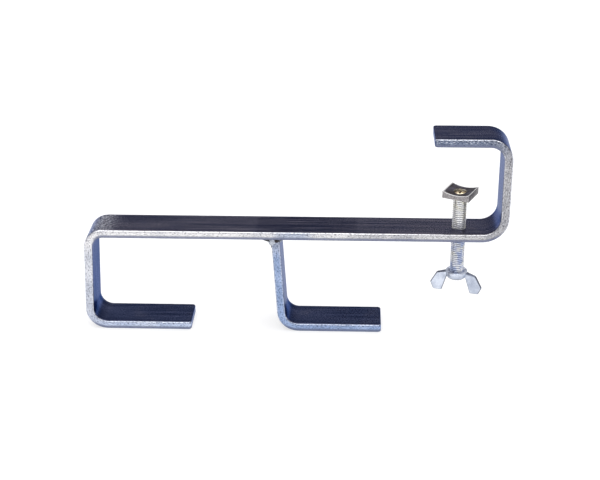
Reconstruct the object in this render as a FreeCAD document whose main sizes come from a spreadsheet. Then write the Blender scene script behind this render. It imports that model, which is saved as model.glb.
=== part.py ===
"""Clamp-on double hook of bent flat bar, in millimetres, +Z up.

Origin: middle of the footprint, on the plane that both hook arms' undersides lie in.
X runs along the main bar towards the clamp, Y across the bar's width.
"""
import FreeCAD, Part
import math
import os
import Sketcher

SIZES = [
    # flat bar
    ("bar_width", 30.0, "width of the flat bar, along Y"),
    ("bar_thickness", 6.0, "thickness of the flat bar"),
    ("edge_round", 1.2, "rounding of the rolled edges"),
    ("end_round", 2.5, "corner rounding of the free ends, seen from above"),
    # main bar
    ("total_length", 307.0, "outside length along X"),
    ("total_height", 152.0, "from the arms' undersides to the jaw's top"),
    ("rail_height", 80.0, "top face of the main run above the arms' undersides"),
    ("outer_arm_end", 75.7, "outer arm's free end, left of the middle"),
    ("outer_lean", 2.7, "degrees that the outer upright leans outward at its foot"),
    ("foot_bend", 9.5, "inner radius of the bend under the outer upright"),
    ("shoulder_bend", 8.0, "inner radius of the bend above the outer upright"),
    ("clamp_bend", 12.5, "inner radius of the bend from the main run to the clamp"),
    ("jaw_bend", 10.0, "inner radius of the bend from the clamp to the jaw"),
    ("jaw_end", 99.0, "jaw's free end, right of the middle"),
    # centre hook and its welds
    ("hook_face", 15.3, "centre hook's left face at the bar, left of the middle"),
    ("hook_lean", 3.4, "degrees that the centre hook leans to the right at its foot"),
    ("hook_bend", 9.5, "inner radius of the centre hook's bend"),
    ("hook_arm_end", 64.7, "centre arm's free end, right of the middle"),
    ("weld_length", 27.0, "length of the welds along Y"),
    ("large_weld_leg", 8.0, "leg of the weld on the left face"),
    ("small_weld_leg", 3.5, "leg of the weld on the right face"),
    ("weld_hollow", 1.2, "radius of a weld's hollow face, in legs of that weld"),
    ("cut_spare", 2.0, "length that the centre hook has over, before its flush cut"),
    # clamp screw
    ("screw_place", 119.3, "screw's axis, right of the middle"),
    ("screw_diameter", 10.0, "M10 over the thread crests"),
    ("running_gap", 0.05, "radial clearance of a shaft that turns"),
    ("screw_top", 103.8, "upper end of the screw"),
    ("screw_bottom", 39.1, "lower end of the screw"),
    ("screw_chamfer", 1.0, "chamfer of the screw's ends"),
    ("mouth_chamfer", 0.7, "chamfer at both mouths of the tapped hole"),
    # wing nut
    ("hub_top", 45.4, "top of the wing nut's hub"),
    ("hub_height", 4.8, "height of the hub"),
    ("hub_diameter", 15.8, "diameter of the hub"),
    ("hub_chamfer", 0.5, "chamfer of the hub's rims"),
    ("wing_root", 5.8, "distance from the axis at which a wing starts, inside the hub"),
    ("wing_shoulder", 14.5, "distance of a wing's upper corner from the axis"),
    ("wing_span", 19.3, "reach of a wing from the axis"),
    ("wing_toe", 16.8, "distance of a wing's outer lower corner from the axis"),
    ("wing_heel", 10.5, "distance of a wing's inner lower corner from the axis"),
    ("wing_crest_drop", 0.6, "start of a wing below the hub's top"),
    ("wing_shoulder_drop", 3.4, "upper corner below the hub's top"),
    ("wing_tip_drop", 12.3, "outermost corner below the hub's top"),
    ("wing_drop", 17.8, "lowest edge of a wing below the hub's top"),
    ("wing_throat", 6.4, "distance from the axis at which a wing's inner edge leaves the hub"),
    ("wing_throat_drop", 4.2, "start of that inner edge below the hub's top, inside the hub"),
    ("wing_corner", 1.2, "corner rounding of a wing's outline"),
    ("wing_thickness", 2.6, "thickness of a wing"),
    ("wing_round", 0.6, "rounding of the wings' edges"),
    ("wing_turn", -16.0, "degrees that the wings are turned at rest"),
    ("lock_leg", 1.5, "leg of the weld ring under the hub"),
    # pressure pad, bush and pad screw
    ("pad_base", 104.1, "underside of the pad"),
    ("pad_length", 20.3, "pad across the tube"),
    ("pad_width", 19.0, "pad along the tube"),
    ("pad_height", 5.4, "pad's height at its corners"),
    ("pad_hollow", 25.5, "radius of the hollow that takes the tube"),
    ("pad_round", 0.5, "rounding of the pad's edges"),
    ("pad_turn", -25.4, "degrees that the pad is turned at rest"),
    ("seat_diameter", 9.4, "sunk seat of the pad screw's head"),
    ("seat_height", 1.2, "floor of that seat above the pad's underside"),
    ("bush_diameter", 7.0, "outside diameter of the swivel bush"),
    ("axial_gap", 0.3, "clearance along the axis on each side of the pad"),
    ("bush_gap", 0.1, "clearance along the axis at each end of the bush"),
    ("shank_diameter", 5.0, "shank of the pad screw"),
    ("shank_depth", 8.0, "depth of the shank in the clamp screw"),
    ("head_diameter", 8.8, "head of the pad screw"),
    ("head_height", 1.7, "height of the domed head"),
    ("head_rim", 0.6, "height of the head's straight rim"),
    ("recess_length", 5.2, "length of each bar of the cross recess"),
    ("recess_width", 1.2, "width of each bar of the cross recess"),
    ("recess_depth", 1.3, "depth of the cross recess below the crown"),
]

SMOOTH_LIMIT = math.radians(20.0)   # faces that meet at less than this are one surface
SAME_PLACE = 0.1                    # mm between a place and the end that it belongs to
SAME_LENGTH = 0.01                  # mm between an edge's length and the one looked for
NO_CHANGE = 1e-6                    # mm3 below which a pocket has cut nothing
GUESS = 1.0                         # mm, a circle's radius before its size is bound

doc = FreeCAD.newDocument("clamp_on_double_hook")
sheet = doc.addObject("Spreadsheet::Sheet", "sizes")


def fill_sheet():
    """Writes each driving dimension to the sheet: name, value with its alias, meaning."""
    for row, (alias, value, meaning) in enumerate(SIZES, start=1):
        sheet.set(f"A{row}", alias)
        sheet.set(f"B{row}", str(value))
        sheet.set(f"C{row}", meaning)
        sheet.setAlias(f"B{row}", alias)
    doc.recompute()


def size(alias):
    """Value of one driving dimension."""
    return float(sheet.get(alias))


# ---------------------------------------------------------------- bodies and sketches

def new_body(name):
    """Empty body whose Label names its file."""
    body = doc.addObject("PartDesign::Body", name)
    body.Label = name
    return body


def origin_plane(body, role):
    """One of the body's own origin planes."""
    for feature in body.Origin.OriginFeatures:
        if feature.Role == role:
            return feature
    raise ValueError(f"{body.Name} has no plane {role}")


def new_sketch(body, name, role, lift=None):
    """Sketch on an origin plane, lifted off it by an expression if one is given."""
    sketch = body.newObject("Sketcher::SketchObject", name)
    sketch.AttachmentSupport = [(origin_plane(body, role), "")]
    sketch.MapMode = "FlatFace"
    if lift:
        sketch.setExpression("AttachmentOffset.Base.z", lift)
    return sketch


def bind(sketch, name, expression, *constraint):
    """Adds a named dimensional constraint and binds it to an expression."""
    index = sketch.addConstraint(Sketcher.Constraint(*constraint))
    sketch.renameConstraint(index, name)
    sketch.setExpression(f"Constraints.{name}", expression)


def point(across, up):
    """Point in a sketch's own plane."""
    return FreeCAD.Vector(across, up, 0)


def add_polygon(sketch, corners):
    """Closed chain of straight lines; returns the lines' ids."""
    ends = corners[1:] + corners[:1]
    lines = [sketch.addGeometry(Part.LineSegment(a, b)) for a, b in zip(corners, ends)]
    for line, following in zip(lines, lines[1:] + lines[:1]):
        sketch.addConstraint(Sketcher.Constraint("Coincident", line, 2, following, 1))
    return lines


def add_circle(sketch, name, diameter, across=None):
    """Circle bound to a diameter, on the plane's origin or on its first axis at a distance."""
    place = GUESS if across else 0.0
    circle = sketch.addGeometry(Part.Circle(point(place, 0), FreeCAD.Vector(0, 0, 1), GUESS))
    if across:
        sketch.addConstraint(Sketcher.Constraint("PointOnObject", circle, 3, -1))
        bind(sketch, f"{name}_across", across, "DistanceX", -1, 1, circle, 3, place)
    else:
        sketch.addConstraint(Sketcher.Constraint("Coincident", circle, 3, -1, 1))
    bind(sketch, f"{name}_diameter", diameter, "Diameter", circle, 2 * GUESS)


def add_bend(sketch, corner, before, after, radius):
    """Arc tangent to the two runs that meet in a corner; returns its id and its end numbers.

    The end numbers are the arc's point on the run before and its point on the run after.
    """
    inward = (before - corner).normalize()
    outward = (after - corner).normalize()
    half = inward.getAngle(outward) / 2
    middle = (inward + outward).normalize()
    centre = corner + middle * (radius / math.sin(half))
    entry = corner + inward * (radius / math.tan(half))
    leave = corner + outward * (radius / math.tan(half))
    turns_left = inward.cross(outward).z < 0
    first, last = (entry, leave) if turns_left else (leave, entry)
    angles = [math.atan2(p.y - centre.y, p.x - centre.x) for p in (first, last)]
    if angles[1] < angles[0]:
        angles[1] += 2 * math.pi
    circle = Part.Circle(centre, FreeCAD.Vector(0, 0, 1), radius)
    arc = sketch.addGeometry(Part.ArcOfCircle(circle, angles[0], angles[1]))
    return arc, ((1, 2) if turns_left else (2, 1)), entry, leave


def add_bend_line(sketch, corners, bends):
    """Straight runs joined by tangent arcs, through the corners; returns the runs' and arcs' ids.

    bends holds the radius of each bend's middle line and the expression that drives it.
    """
    arcs = []
    starts = [corners[0]]
    stops = []
    for index, (radius, _) in enumerate(bends, start=1):
        arc, ends, entry, leave = add_bend(
            sketch, corners[index], corners[index - 1], corners[index + 1], radius)
        arcs.append((arc, ends))
        stops.append(entry)
        starts.append(leave)
    stops.append(corners[-1])
    runs = [sketch.addGeometry(Part.LineSegment(a, b)) for a, b in zip(starts, stops)]
    for index, (arc, ends) in enumerate(arcs):
        sketch.addConstraint(Sketcher.Constraint("Tangent", runs[index], 2, arc, ends[0]))
        sketch.addConstraint(Sketcher.Constraint("Tangent", arc, ends[1], runs[index + 1], 1))
        bind(sketch, f"bend_{index + 1}", bends[index][1], "Radius", arc, bends[index][0])
    return runs, [arc for arc, _ in arcs]


# ---------------------------------------------------------------- features

def sharp_edges(shape, wanted):
    """Names of the edges where two faces meet at an angle and that pass the test wanted."""
    names = []
    for index, edge in enumerate(shape.Edges, start=1):
        faces = shape.ancestorsOfType(edge, Part.Face)
        middle = edge.valueAt((edge.FirstParameter + edge.LastParameter) / 2)
        normals = [face.normalAt(*face.Surface.parameter(middle)) for face in faces]
        is_sharp = len(normals) == 2 and normals[0].getAngle(normals[1]) > SMOOTH_LIMIT
        if is_sharp and wanted(edge):
            names.append(f"Edge{index}")
    return names


def dress(body, kind, name, expression, wanted):
    """Fillet or Chamfer on the sharp edges of the body's tip that pass the test wanted."""
    doc.recompute()
    base = body.Tip
    feature = body.newObject(f"PartDesign::{kind}", name)
    feature.Base = (base, sharp_edges(base.Shape, wanted))
    feature.setExpression("Radius" if kind == "Fillet" else "Size", expression)
    doc.recompute()
    return feature


def pad(body, sketch, name, length, midplane=False, downward=False):
    """Pad of a sketch by an expression."""
    feature = body.newObject("PartDesign::Pad", name)
    feature.Profile = sketch
    feature.setExpression("Length", length)
    feature.SideType = "Symmetric" if midplane else "One side"
    feature.Reversed = downward
    doc.recompute()
    return feature


def pocket(body, sketch, name, length, midplane=False, upward=False):
    """Pocket of a sketch by an expression, checked to have taken material away."""
    before = body.Shape.Volume
    feature = body.newObject("PartDesign::Pocket", name)
    feature.Profile = sketch
    feature.setExpression("Length", length)
    feature.SideType = "Symmetric" if midplane else "One side"
    feature.Reversed = upward
    doc.recompute()
    if body.Shape.Volume >= before - NO_CHANGE:
        raise RuntimeError(f"{name} cuts nothing")
    return feature


def sweep_flat_bar(body, path, section_place):
    """Flat bar's section carried along its bend line from the free end of an arm."""
    section = new_sketch(body, f"{body.Name}_section", "YZ_Plane", section_place)
    half_width = size("bar_width") / 2
    thickness = size("bar_thickness")
    lines = add_polygon(section, [
        point(-half_width, 0), point(half_width, 0),
        point(half_width, thickness), point(-half_width, thickness)])
    for line in (lines[1], lines[3]):
        section.addConstraint(Sketcher.Constraint("Vertical", line))
    section.addConstraint(Sketcher.Constraint("Horizontal", lines[2]))
    section.addConstraint(Sketcher.Constraint("Symmetric", lines[0], 1, lines[0], 2, -2))
    section.addConstraint(Sketcher.Constraint("PointOnObject", lines[0], 1, -1))
    bind(section, "width", "sizes.bar_width", "DistanceX", lines[0], 1, lines[0], 2, 2 * half_width)
    bind(section, "thickness", "sizes.bar_thickness", "DistanceY", lines[1], 1, lines[1], 2, thickness)
    doc.recompute()
    pipe = body.newObject("PartDesign::AdditivePipe", f"{body.Name}_sweep")
    pipe.Profile = section
    pipe.Spine = (path, [])
    pipe.Refine = True
    doc.recompute()
    return pipe


def round_bar_ends(body, is_free_end, is_rolled=lambda edge: True):
    """Corner rounding of the free ends, then the rolled edges all along the bar.

    is_free_end tests a place and is_rolled an edge; by default each sharp edge is rolled.
    """
    thickness = size("bar_thickness")

    def is_end_corner(edge):
        return is_free_end(edge.CenterOfMass) and abs(edge.Length - thickness) < SAME_LENGTH

    dress(body, "Fillet", f"{body.Name}_end_corners", "sizes.end_round", is_end_corner)
    dress(body, "Fillet", f"{body.Name}_rolled_edges", "sizes.edge_round", is_rolled)


# ---------------------------------------------------------------- welded frame

def build_main_bar():
    """Flat bar bent four times, with the tapped hole through its clamp end."""
    body = new_body("main_bar")
    path = new_sketch(body, "main_bar_bend_line", "XZ_Plane")
    half = size("bar_thickness") / 2
    lean = math.radians(size("outer_lean"))
    foot_radius = size("foot_bend") + half
    foot_centre = size("foot_bend") + 2 * half - size("total_length") / 2
    foot_height = size("foot_bend") + 2 * half

    def upright_at(height):
        across = foot_centre - foot_radius * math.cos(lean)
        rise = height - foot_height - foot_radius * math.sin(lean)
        return point(across + rise * math.tan(lean), height)

    clamp_place = size("total_length") / 2 - half
    corners = [
        point(-size("outer_arm_end"), half),
        upright_at(half),
        upright_at(size("rail_height") - half),
        point(clamp_place, size("rail_height") - half),
        point(clamp_place, size("total_height") - half),
        point(size("jaw_end"), size("total_height") - half),
    ]
    bends = [(size(alias) + half, f"sizes.{alias} + sizes.bar_thickness / 2")
             for alias in ("foot_bend", "shoulder_bend", "clamp_bend", "jaw_bend")]
    runs, arcs = add_bend_line(path, corners, bends)
    arm, upright, rail, clamp, jaw = runs
    for run in (arm, rail, jaw):
        path.addConstraint(Sketcher.Constraint("Horizontal", run))
    path.addConstraint(Sketcher.Constraint("Vertical", clamp))
    bind(path, "upright_angle", "(90 - sizes.outer_lean) * 1 deg", "Angle", upright, math.pi / 2 - lean)
    bind(path, "arm_end", "sizes.outer_arm_end", "DistanceX", arm, 1, -1, 1, size("outer_arm_end"))
    bind(path, "arm_height", "sizes.bar_thickness / 2", "DistanceY", -1, 1, arm, 1, half)
    bind(path, "foot_place", "sizes.total_length / 2 - sizes.foot_bend - sizes.bar_thickness",
         "DistanceX", arcs[0], 3, -1, 1, -foot_centre)
    bind(path, "rail_line", "sizes.rail_height - sizes.bar_thickness / 2",
         "DistanceY", -1, 1, rail, 1, size("rail_height") - half)
    bind(path, "clamp_place", "sizes.total_length / 2 - sizes.bar_thickness / 2",
         "DistanceX", -1, 1, clamp, 1, clamp_place)
    bind(path, "jaw_height", "sizes.total_height - sizes.bar_thickness / 2",
         "DistanceY", -1, 1, jaw, 2, size("total_height") - half)
    bind(path, "jaw_end", "sizes.jaw_end", "DistanceX", -1, 1, jaw, 2, size("jaw_end"))
    sweep_flat_bar(body, path, "-sizes.outer_arm_end")

    def is_free_end(place):
        at_arm = abs(place.x + size("outer_arm_end")) < SAME_PLACE and place.z < size("rail_height")
        at_jaw = abs(place.x - size("jaw_end")) < SAME_PLACE and place.z > size("rail_height")
        return at_arm or at_jaw

    round_bar_ends(body, is_free_end)
    hole = new_sketch(body, "tapped_hole_outline", "XY_Plane", "sizes.rail_height")
    add_circle(hole, "hole", "sizes.screw_diameter + 2 * sizes.running_gap", "sizes.screw_place")
    pocket(body, hole, "tapped_hole", "sizes.bar_thickness")
    mouth = size("screw_diameter") + 2 * size("running_gap")
    dress(body, "Chamfer", "tapped_hole_mouths", "sizes.mouth_chamfer",
          lambda edge: abs(edge.Length - math.pi * mouth) < SAME_LENGTH)
    return body


def build_centre_hook():
    """Flat bar bent once, cut flush against the main run's underside."""
    body = new_body("centre_hook")
    path = new_sketch(body, "centre_hook_bend_line", "XZ_Plane")
    half = size("bar_thickness") / 2
    lean = math.radians(size("hook_lean"))
    spare = size("cut_spare")
    underside = size("rail_height") - size("bar_thickness")
    top_across = half / math.cos(lean) - size("hook_face")

    def upright_at(height):
        return point(top_across + (underside - height) * math.tan(lean), height)

    corners = [point(size("hook_arm_end"), half), upright_at(half), upright_at(underside + spare)]
    bends = [(size("hook_bend") + half, "sizes.hook_bend + sizes.bar_thickness / 2")]
    (arm, upright), _ = add_bend_line(path, corners, bends)
    path.addConstraint(Sketcher.Constraint("Horizontal", arm))
    bind(path, "arm_end", "sizes.hook_arm_end", "DistanceX", -1, 1, arm, 1, size("hook_arm_end"))
    bind(path, "arm_height", "sizes.bar_thickness / 2", "DistanceY", -1, 1, arm, 1, half)
    bind(path, "upright_angle", "(90 + sizes.hook_lean) * 1 deg", "Angle", upright, math.pi / 2 + lean)
    bind(path, "upright_top", "sizes.rail_height - sizes.bar_thickness + sizes.cut_spare",
         "DistanceY", -1, 1, upright, 2, underside + spare)
    bind(path, "upright_place",
         "sizes.hook_face - sizes.bar_thickness / 2 / cos(sizes.hook_lean * 1 deg)"
         " + sizes.cut_spare * tan(sizes.hook_lean * 1 deg)",
         "DistanceX", upright, 2, -1, 1, -corners[2].x)
    sweep_flat_bar(body, path, "sizes.hook_arm_end")
    trim = new_sketch(body, "flush_cut_outline", "XY_Plane", "sizes.rail_height - sizes.bar_thickness")
    add_circle(trim, "cut", "2 * sizes.bar_width")
    pocket(body, trim, "flush_cut", "sizes.bar_thickness", upward=True)

    def is_free_end(place):
        return abs(place.x - size("hook_arm_end")) < SAME_PLACE

    def is_below_cut(edge):
        return edge.CenterOfMass.z < underside - SAME_LENGTH

    round_bar_ends(body, is_free_end, is_below_cut)
    return body


def build_weld(name, side, leg, face):
    """Concave fillet weld in the corner of the bar's underside and one face of the centre hook.

    side is -1 for the left face and 1 for the right one; leg names the leg's size; face is the
    expression for the corner's place along X.
    """
    body = new_body(name)
    outline = new_sketch(body, f"{name}_outline", "XZ_Plane")
    length = size(leg)
    lean = math.radians(size("hook_lean"))
    corner = point(0, 0)
    on_bar = point(side * length, 0)
    on_hook = point(length * math.sin(lean), -length * math.cos(lean))
    radius = size("weld_hollow") * length
    chord = on_hook - on_bar
    away = (on_bar + on_hook).normalize()
    centre = on_bar + chord / 2 + away * math.sqrt(radius ** 2 - (chord.Length / 2) ** 2)
    along_bar = outline.addGeometry(Part.LineSegment(corner, on_bar))
    along_hook = outline.addGeometry(Part.LineSegment(on_hook, corner))
    first, last = (on_hook, on_bar) if side < 0 else (on_bar, on_hook)
    first_angle = math.atan2(first.y - centre.y, first.x - centre.x) % (2 * math.pi)
    last_angle = math.atan2(last.y - centre.y, last.x - centre.x) % (2 * math.pi)
    circle = Part.Circle(centre, FreeCAD.Vector(0, 0, 1), radius)
    if last_angle < first_angle:
        last_angle += 2 * math.pi
    hollow = outline.addGeometry(Part.ArcOfCircle(circle, first_angle, last_angle))
    bar_end, hook_end = (2, 1) if side < 0 else (1, 2)
    outline.addConstraint(Sketcher.Constraint("Coincident", along_bar, 1, -1, 1))
    outline.addConstraint(Sketcher.Constraint("Coincident", along_hook, 2, -1, 1))
    outline.addConstraint(Sketcher.Constraint("Coincident", along_bar, 2, hollow, bar_end))
    outline.addConstraint(Sketcher.Constraint("Coincident", along_hook, 1, hollow, hook_end))
    outline.addConstraint(Sketcher.Constraint("Horizontal", along_bar))
    bind(outline, "leg_on_bar", f"sizes.{leg}", "Distance", along_bar, length)
    bind(outline, "leg_on_hook", f"sizes.{leg}", "Distance", along_hook, length)
    bind(outline, "face_angle", "(90 + sizes.hook_lean) * 1 deg", "Angle", along_hook, math.pi / 2 + lean)
    bind(outline, "hollow", f"sizes.{leg} * sizes.weld_hollow", "Radius", hollow, radius)
    doc.recompute()
    pad(body, outline, f"{name}_run", "sizes.weld_length", midplane=True)
    body.setExpression("Placement.Base.x", face)
    body.setExpression("Placement.Base.z", "sizes.rail_height - sizes.bar_thickness")
    return body


# ---------------------------------------------------------------- clamp screw and wing nut

def build_clamp_screw():
    """M10 rod at its crest diameter, with a tapped blind hole for the pad screw."""
    body = new_body("clamp_screw")
    outline = new_sketch(body, "rod_outline", "XY_Plane")
    add_circle(outline, "rod", "sizes.screw_diameter")
    pad(body, outline, "rod", "sizes.screw_top - sizes.screw_bottom")
    dress(body, "Chamfer", "rod_ends", "sizes.screw_chamfer", lambda edge: True)
    hole = new_sketch(body, "shank_hole_outline", "XY_Plane", "sizes.screw_top - sizes.screw_bottom")
    add_circle(hole, "shank_hole", "sizes.shank_diameter + 2 * sizes.running_gap")
    pocket(body, hole, "shank_hole", "sizes.shank_depth + 2 * sizes.axial_gap")
    body.setExpression("Placement.Base.x", "sizes.screw_place")
    body.setExpression("Placement.Base.z", "sizes.screw_bottom")
    return body


def add_wing_outline(body):
    """Outline of one wing in the plane through the axis; its corners' sizes come from the sheet."""
    outline = new_sketch(body, "wing_outline", "XZ_Plane")
    corners = [
        ("crest", "wing_root", "wing_crest_drop"),
        ("shoulder", "wing_shoulder", "wing_shoulder_drop"),
        ("tip", "wing_span", "wing_tip_drop"),
        ("toe", "wing_toe", "wing_drop"),
        ("heel", "wing_heel", "wing_drop"),
        ("throat", "wing_throat", "wing_throat_drop"),
        ("root", "wing_root", "wing_throat_drop"),
    ]
    lines = add_polygon(outline, [point(size(reach), -size(drop)) for _, reach, drop in corners])
    for line, (name, reach, drop) in zip(lines, corners):
        bind(outline, f"{name}_reach", f"sizes.{reach}", "DistanceX", -1, 1, line, 1, size(reach))
        bind(outline, f"{name}_drop", f"sizes.{drop}", "DistanceY", line, 1, -1, 1, size(drop))
    doc.recompute()
    return outline


def build_wing_nut():
    """Round hub with two flat wings that flare downwards, bored for the rod."""
    body = new_body("wing_nut")
    hub = new_sketch(body, "hub_outline", "XY_Plane")
    add_circle(hub, "hub", "sizes.hub_diameter")
    pad(body, hub, "hub", "sizes.hub_height", downward=True)
    dress(body, "Chamfer", "hub_rims", "sizes.hub_chamfer", lambda edge: True)
    wing = pad(body, add_wing_outline(body), "wing", "sizes.wing_thickness", midplane=True)
    wings = body.newObject("PartDesign::PolarPattern", "wings")
    wings.Originals = [wing]
    wings.Axis = (hub, ["N_Axis"])
    wings.Angle = 360.0
    wings.Occurrences = 2
    body.Tip = wings
    doc.recompute()
    outside_hub = size("hub_diameter") / 2 + size("wing_round")
    thickness = size("wing_thickness")

    def is_wing_corner(edge):
        place = edge.CenterOfMass
        is_outside = math.hypot(place.x, place.y) > outside_hub
        return is_outside and abs(edge.Length - thickness) < SAME_LENGTH

    dress(body, "Fillet", "wing_corners", "sizes.wing_corner", is_wing_corner)
    dress(body, "Fillet", "wing_edges", "sizes.wing_round",
          lambda edge: math.hypot(edge.CenterOfMass.x, edge.CenterOfMass.y) > outside_hub)
    bore = new_sketch(body, "hub_bore_outline", "XY_Plane")
    add_circle(bore, "bore", "sizes.screw_diameter + 2 * sizes.running_gap")
    pocket(body, bore, "hub_bore", "sizes.hub_height")
    place_on_screw(body, "sizes.hub_top", "sizes.wing_turn")
    return body


def place_on_screw(body, height, turn):
    """Puts a body's origin on the screw's axis, at a height and turned about the axis."""
    body.setExpression("Placement.Base.x", "sizes.screw_place")
    body.setExpression("Placement.Base.z", height)
    if turn:
        body.setExpression("Placement.Rotation.Angle", f"{turn} * 1 deg")


def revolve(body, sketch, name):
    """Full turn of a sketch about its own upright axis."""
    feature = body.newObject("PartDesign::Revolution", name)
    feature.Profile = sketch
    feature.ReferenceAxis = (sketch, ["V_Axis"])
    feature.Angle = 360.0
    doc.recompute()
    return feature


def build_wing_lock():
    """Weld ring in the corner of the hub's underside and the rod's end."""
    body = new_body("wing_lock")
    outline = new_sketch(body, "lock_outline", "XZ_Plane")
    inner = size("screw_diameter") / 2 + size("running_gap")
    leg = size("lock_leg")
    lines = add_polygon(outline, [point(inner, 0), point(inner, -leg), point(inner + leg, 0)])
    outline.addConstraint(Sketcher.Constraint("Vertical", lines[0]))
    outline.addConstraint(Sketcher.Constraint("PointOnObject", lines[0], 1, -1))
    outline.addConstraint(Sketcher.Constraint("PointOnObject", lines[2], 1, -1))
    bind(outline, "inner", "sizes.screw_diameter / 2 + sizes.running_gap",
         "DistanceX", -1, 1, lines[0], 1, inner)
    bind(outline, "drop", "sizes.lock_leg", "DistanceY", lines[0], 2, lines[0], 1, leg)
    bind(outline, "reach", "sizes.lock_leg", "DistanceX", lines[0], 1, lines[2], 1, leg)
    doc.recompute()
    revolve(body, outline, "lock_ring")
    place_on_screw(body, "sizes.hub_top - sizes.hub_height", None)
    return body


# ---------------------------------------------------------------- pressure pad

def build_pressure_pad():
    """Block with a hollow top for the tube, a bore for the bush and a sunk seat for the screw."""
    body = new_body("pressure_pad")
    outline = new_sketch(body, "pad_outline", "XZ_Plane")
    half = size("pad_length") / 2
    height = size("pad_height")
    radius = size("pad_hollow")
    half_angle = math.asin(half / radius)
    base = outline.addGeometry(Part.LineSegment(point(-half, 0), point(half, 0)))
    right = outline.addGeometry(Part.LineSegment(point(half, 0), point(half, height)))
    centre = point(0, height + radius * math.cos(half_angle))
    circle = Part.Circle(centre, FreeCAD.Vector(0, 0, 1), radius)
    lowest = 3 * math.pi / 2
    hollow = outline.addGeometry(Part.ArcOfCircle(circle, lowest - half_angle, lowest + half_angle))
    left = outline.addGeometry(Part.LineSegment(point(-half, height), point(-half, 0)))
    joins = [(base, 2, right, 1), (right, 2, hollow, 2), (hollow, 1, left, 1), (left, 2, base, 1)]
    for join in joins:
        outline.addConstraint(Sketcher.Constraint("Coincident", *join))
    outline.addConstraint(Sketcher.Constraint("Horizontal", base))
    outline.addConstraint(Sketcher.Constraint("Vertical", right))
    outline.addConstraint(Sketcher.Constraint("Vertical", left))
    outline.addConstraint(Sketcher.Constraint("Symmetric", base, 1, base, 2, -1, 1))
    outline.addConstraint(Sketcher.Constraint("PointOnObject", hollow, 3, -2))
    bind(outline, "length", "sizes.pad_length", "DistanceX", base, 1, base, 2, 2 * half)
    bind(outline, "height", "sizes.pad_height", "DistanceY", right, 1, right, 2, height)
    bind(outline, "hollow", "sizes.pad_hollow", "Radius", hollow, radius)
    doc.recompute()
    pad(body, outline, "block", "sizes.pad_width", midplane=True)
    dress(body, "Fillet", "block_edges", "sizes.pad_round", lambda edge: True)
    bore = new_sketch(body, "bush_bore_outline", "XY_Plane")
    add_circle(bore, "bush_bore", "sizes.bush_diameter + 2 * sizes.running_gap")
    pocket(body, bore, "bush_bore", "sizes.pad_height", upward=True)
    seat = new_sketch(body, "head_seat_outline", "XY_Plane", "sizes.seat_height")
    add_circle(seat, "seat", "sizes.seat_diameter")
    pocket(body, seat, "head_seat", "sizes.pad_height", upward=True)
    place_on_screw(body, "sizes.pad_base", "sizes.pad_turn")
    return body


def build_swivel_bush():
    """Sleeve that floats between the pad's bore and the pad screw's shank."""
    body = new_body("swivel_bush")
    ring = new_sketch(body, "bush_outline", "XY_Plane")
    add_circle(ring, "outer", "sizes.bush_diameter")
    add_circle(ring, "inner", "sizes.shank_diameter + 2 * sizes.running_gap")
    length = ("sizes.pad_base + sizes.seat_height + sizes.axial_gap"
              " - sizes.screw_top - 2 * sizes.bush_gap")
    pad(body, ring, "sleeve", length)
    place_on_screw(body, "sizes.screw_top + sizes.bush_gap", None)
    return body


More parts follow.
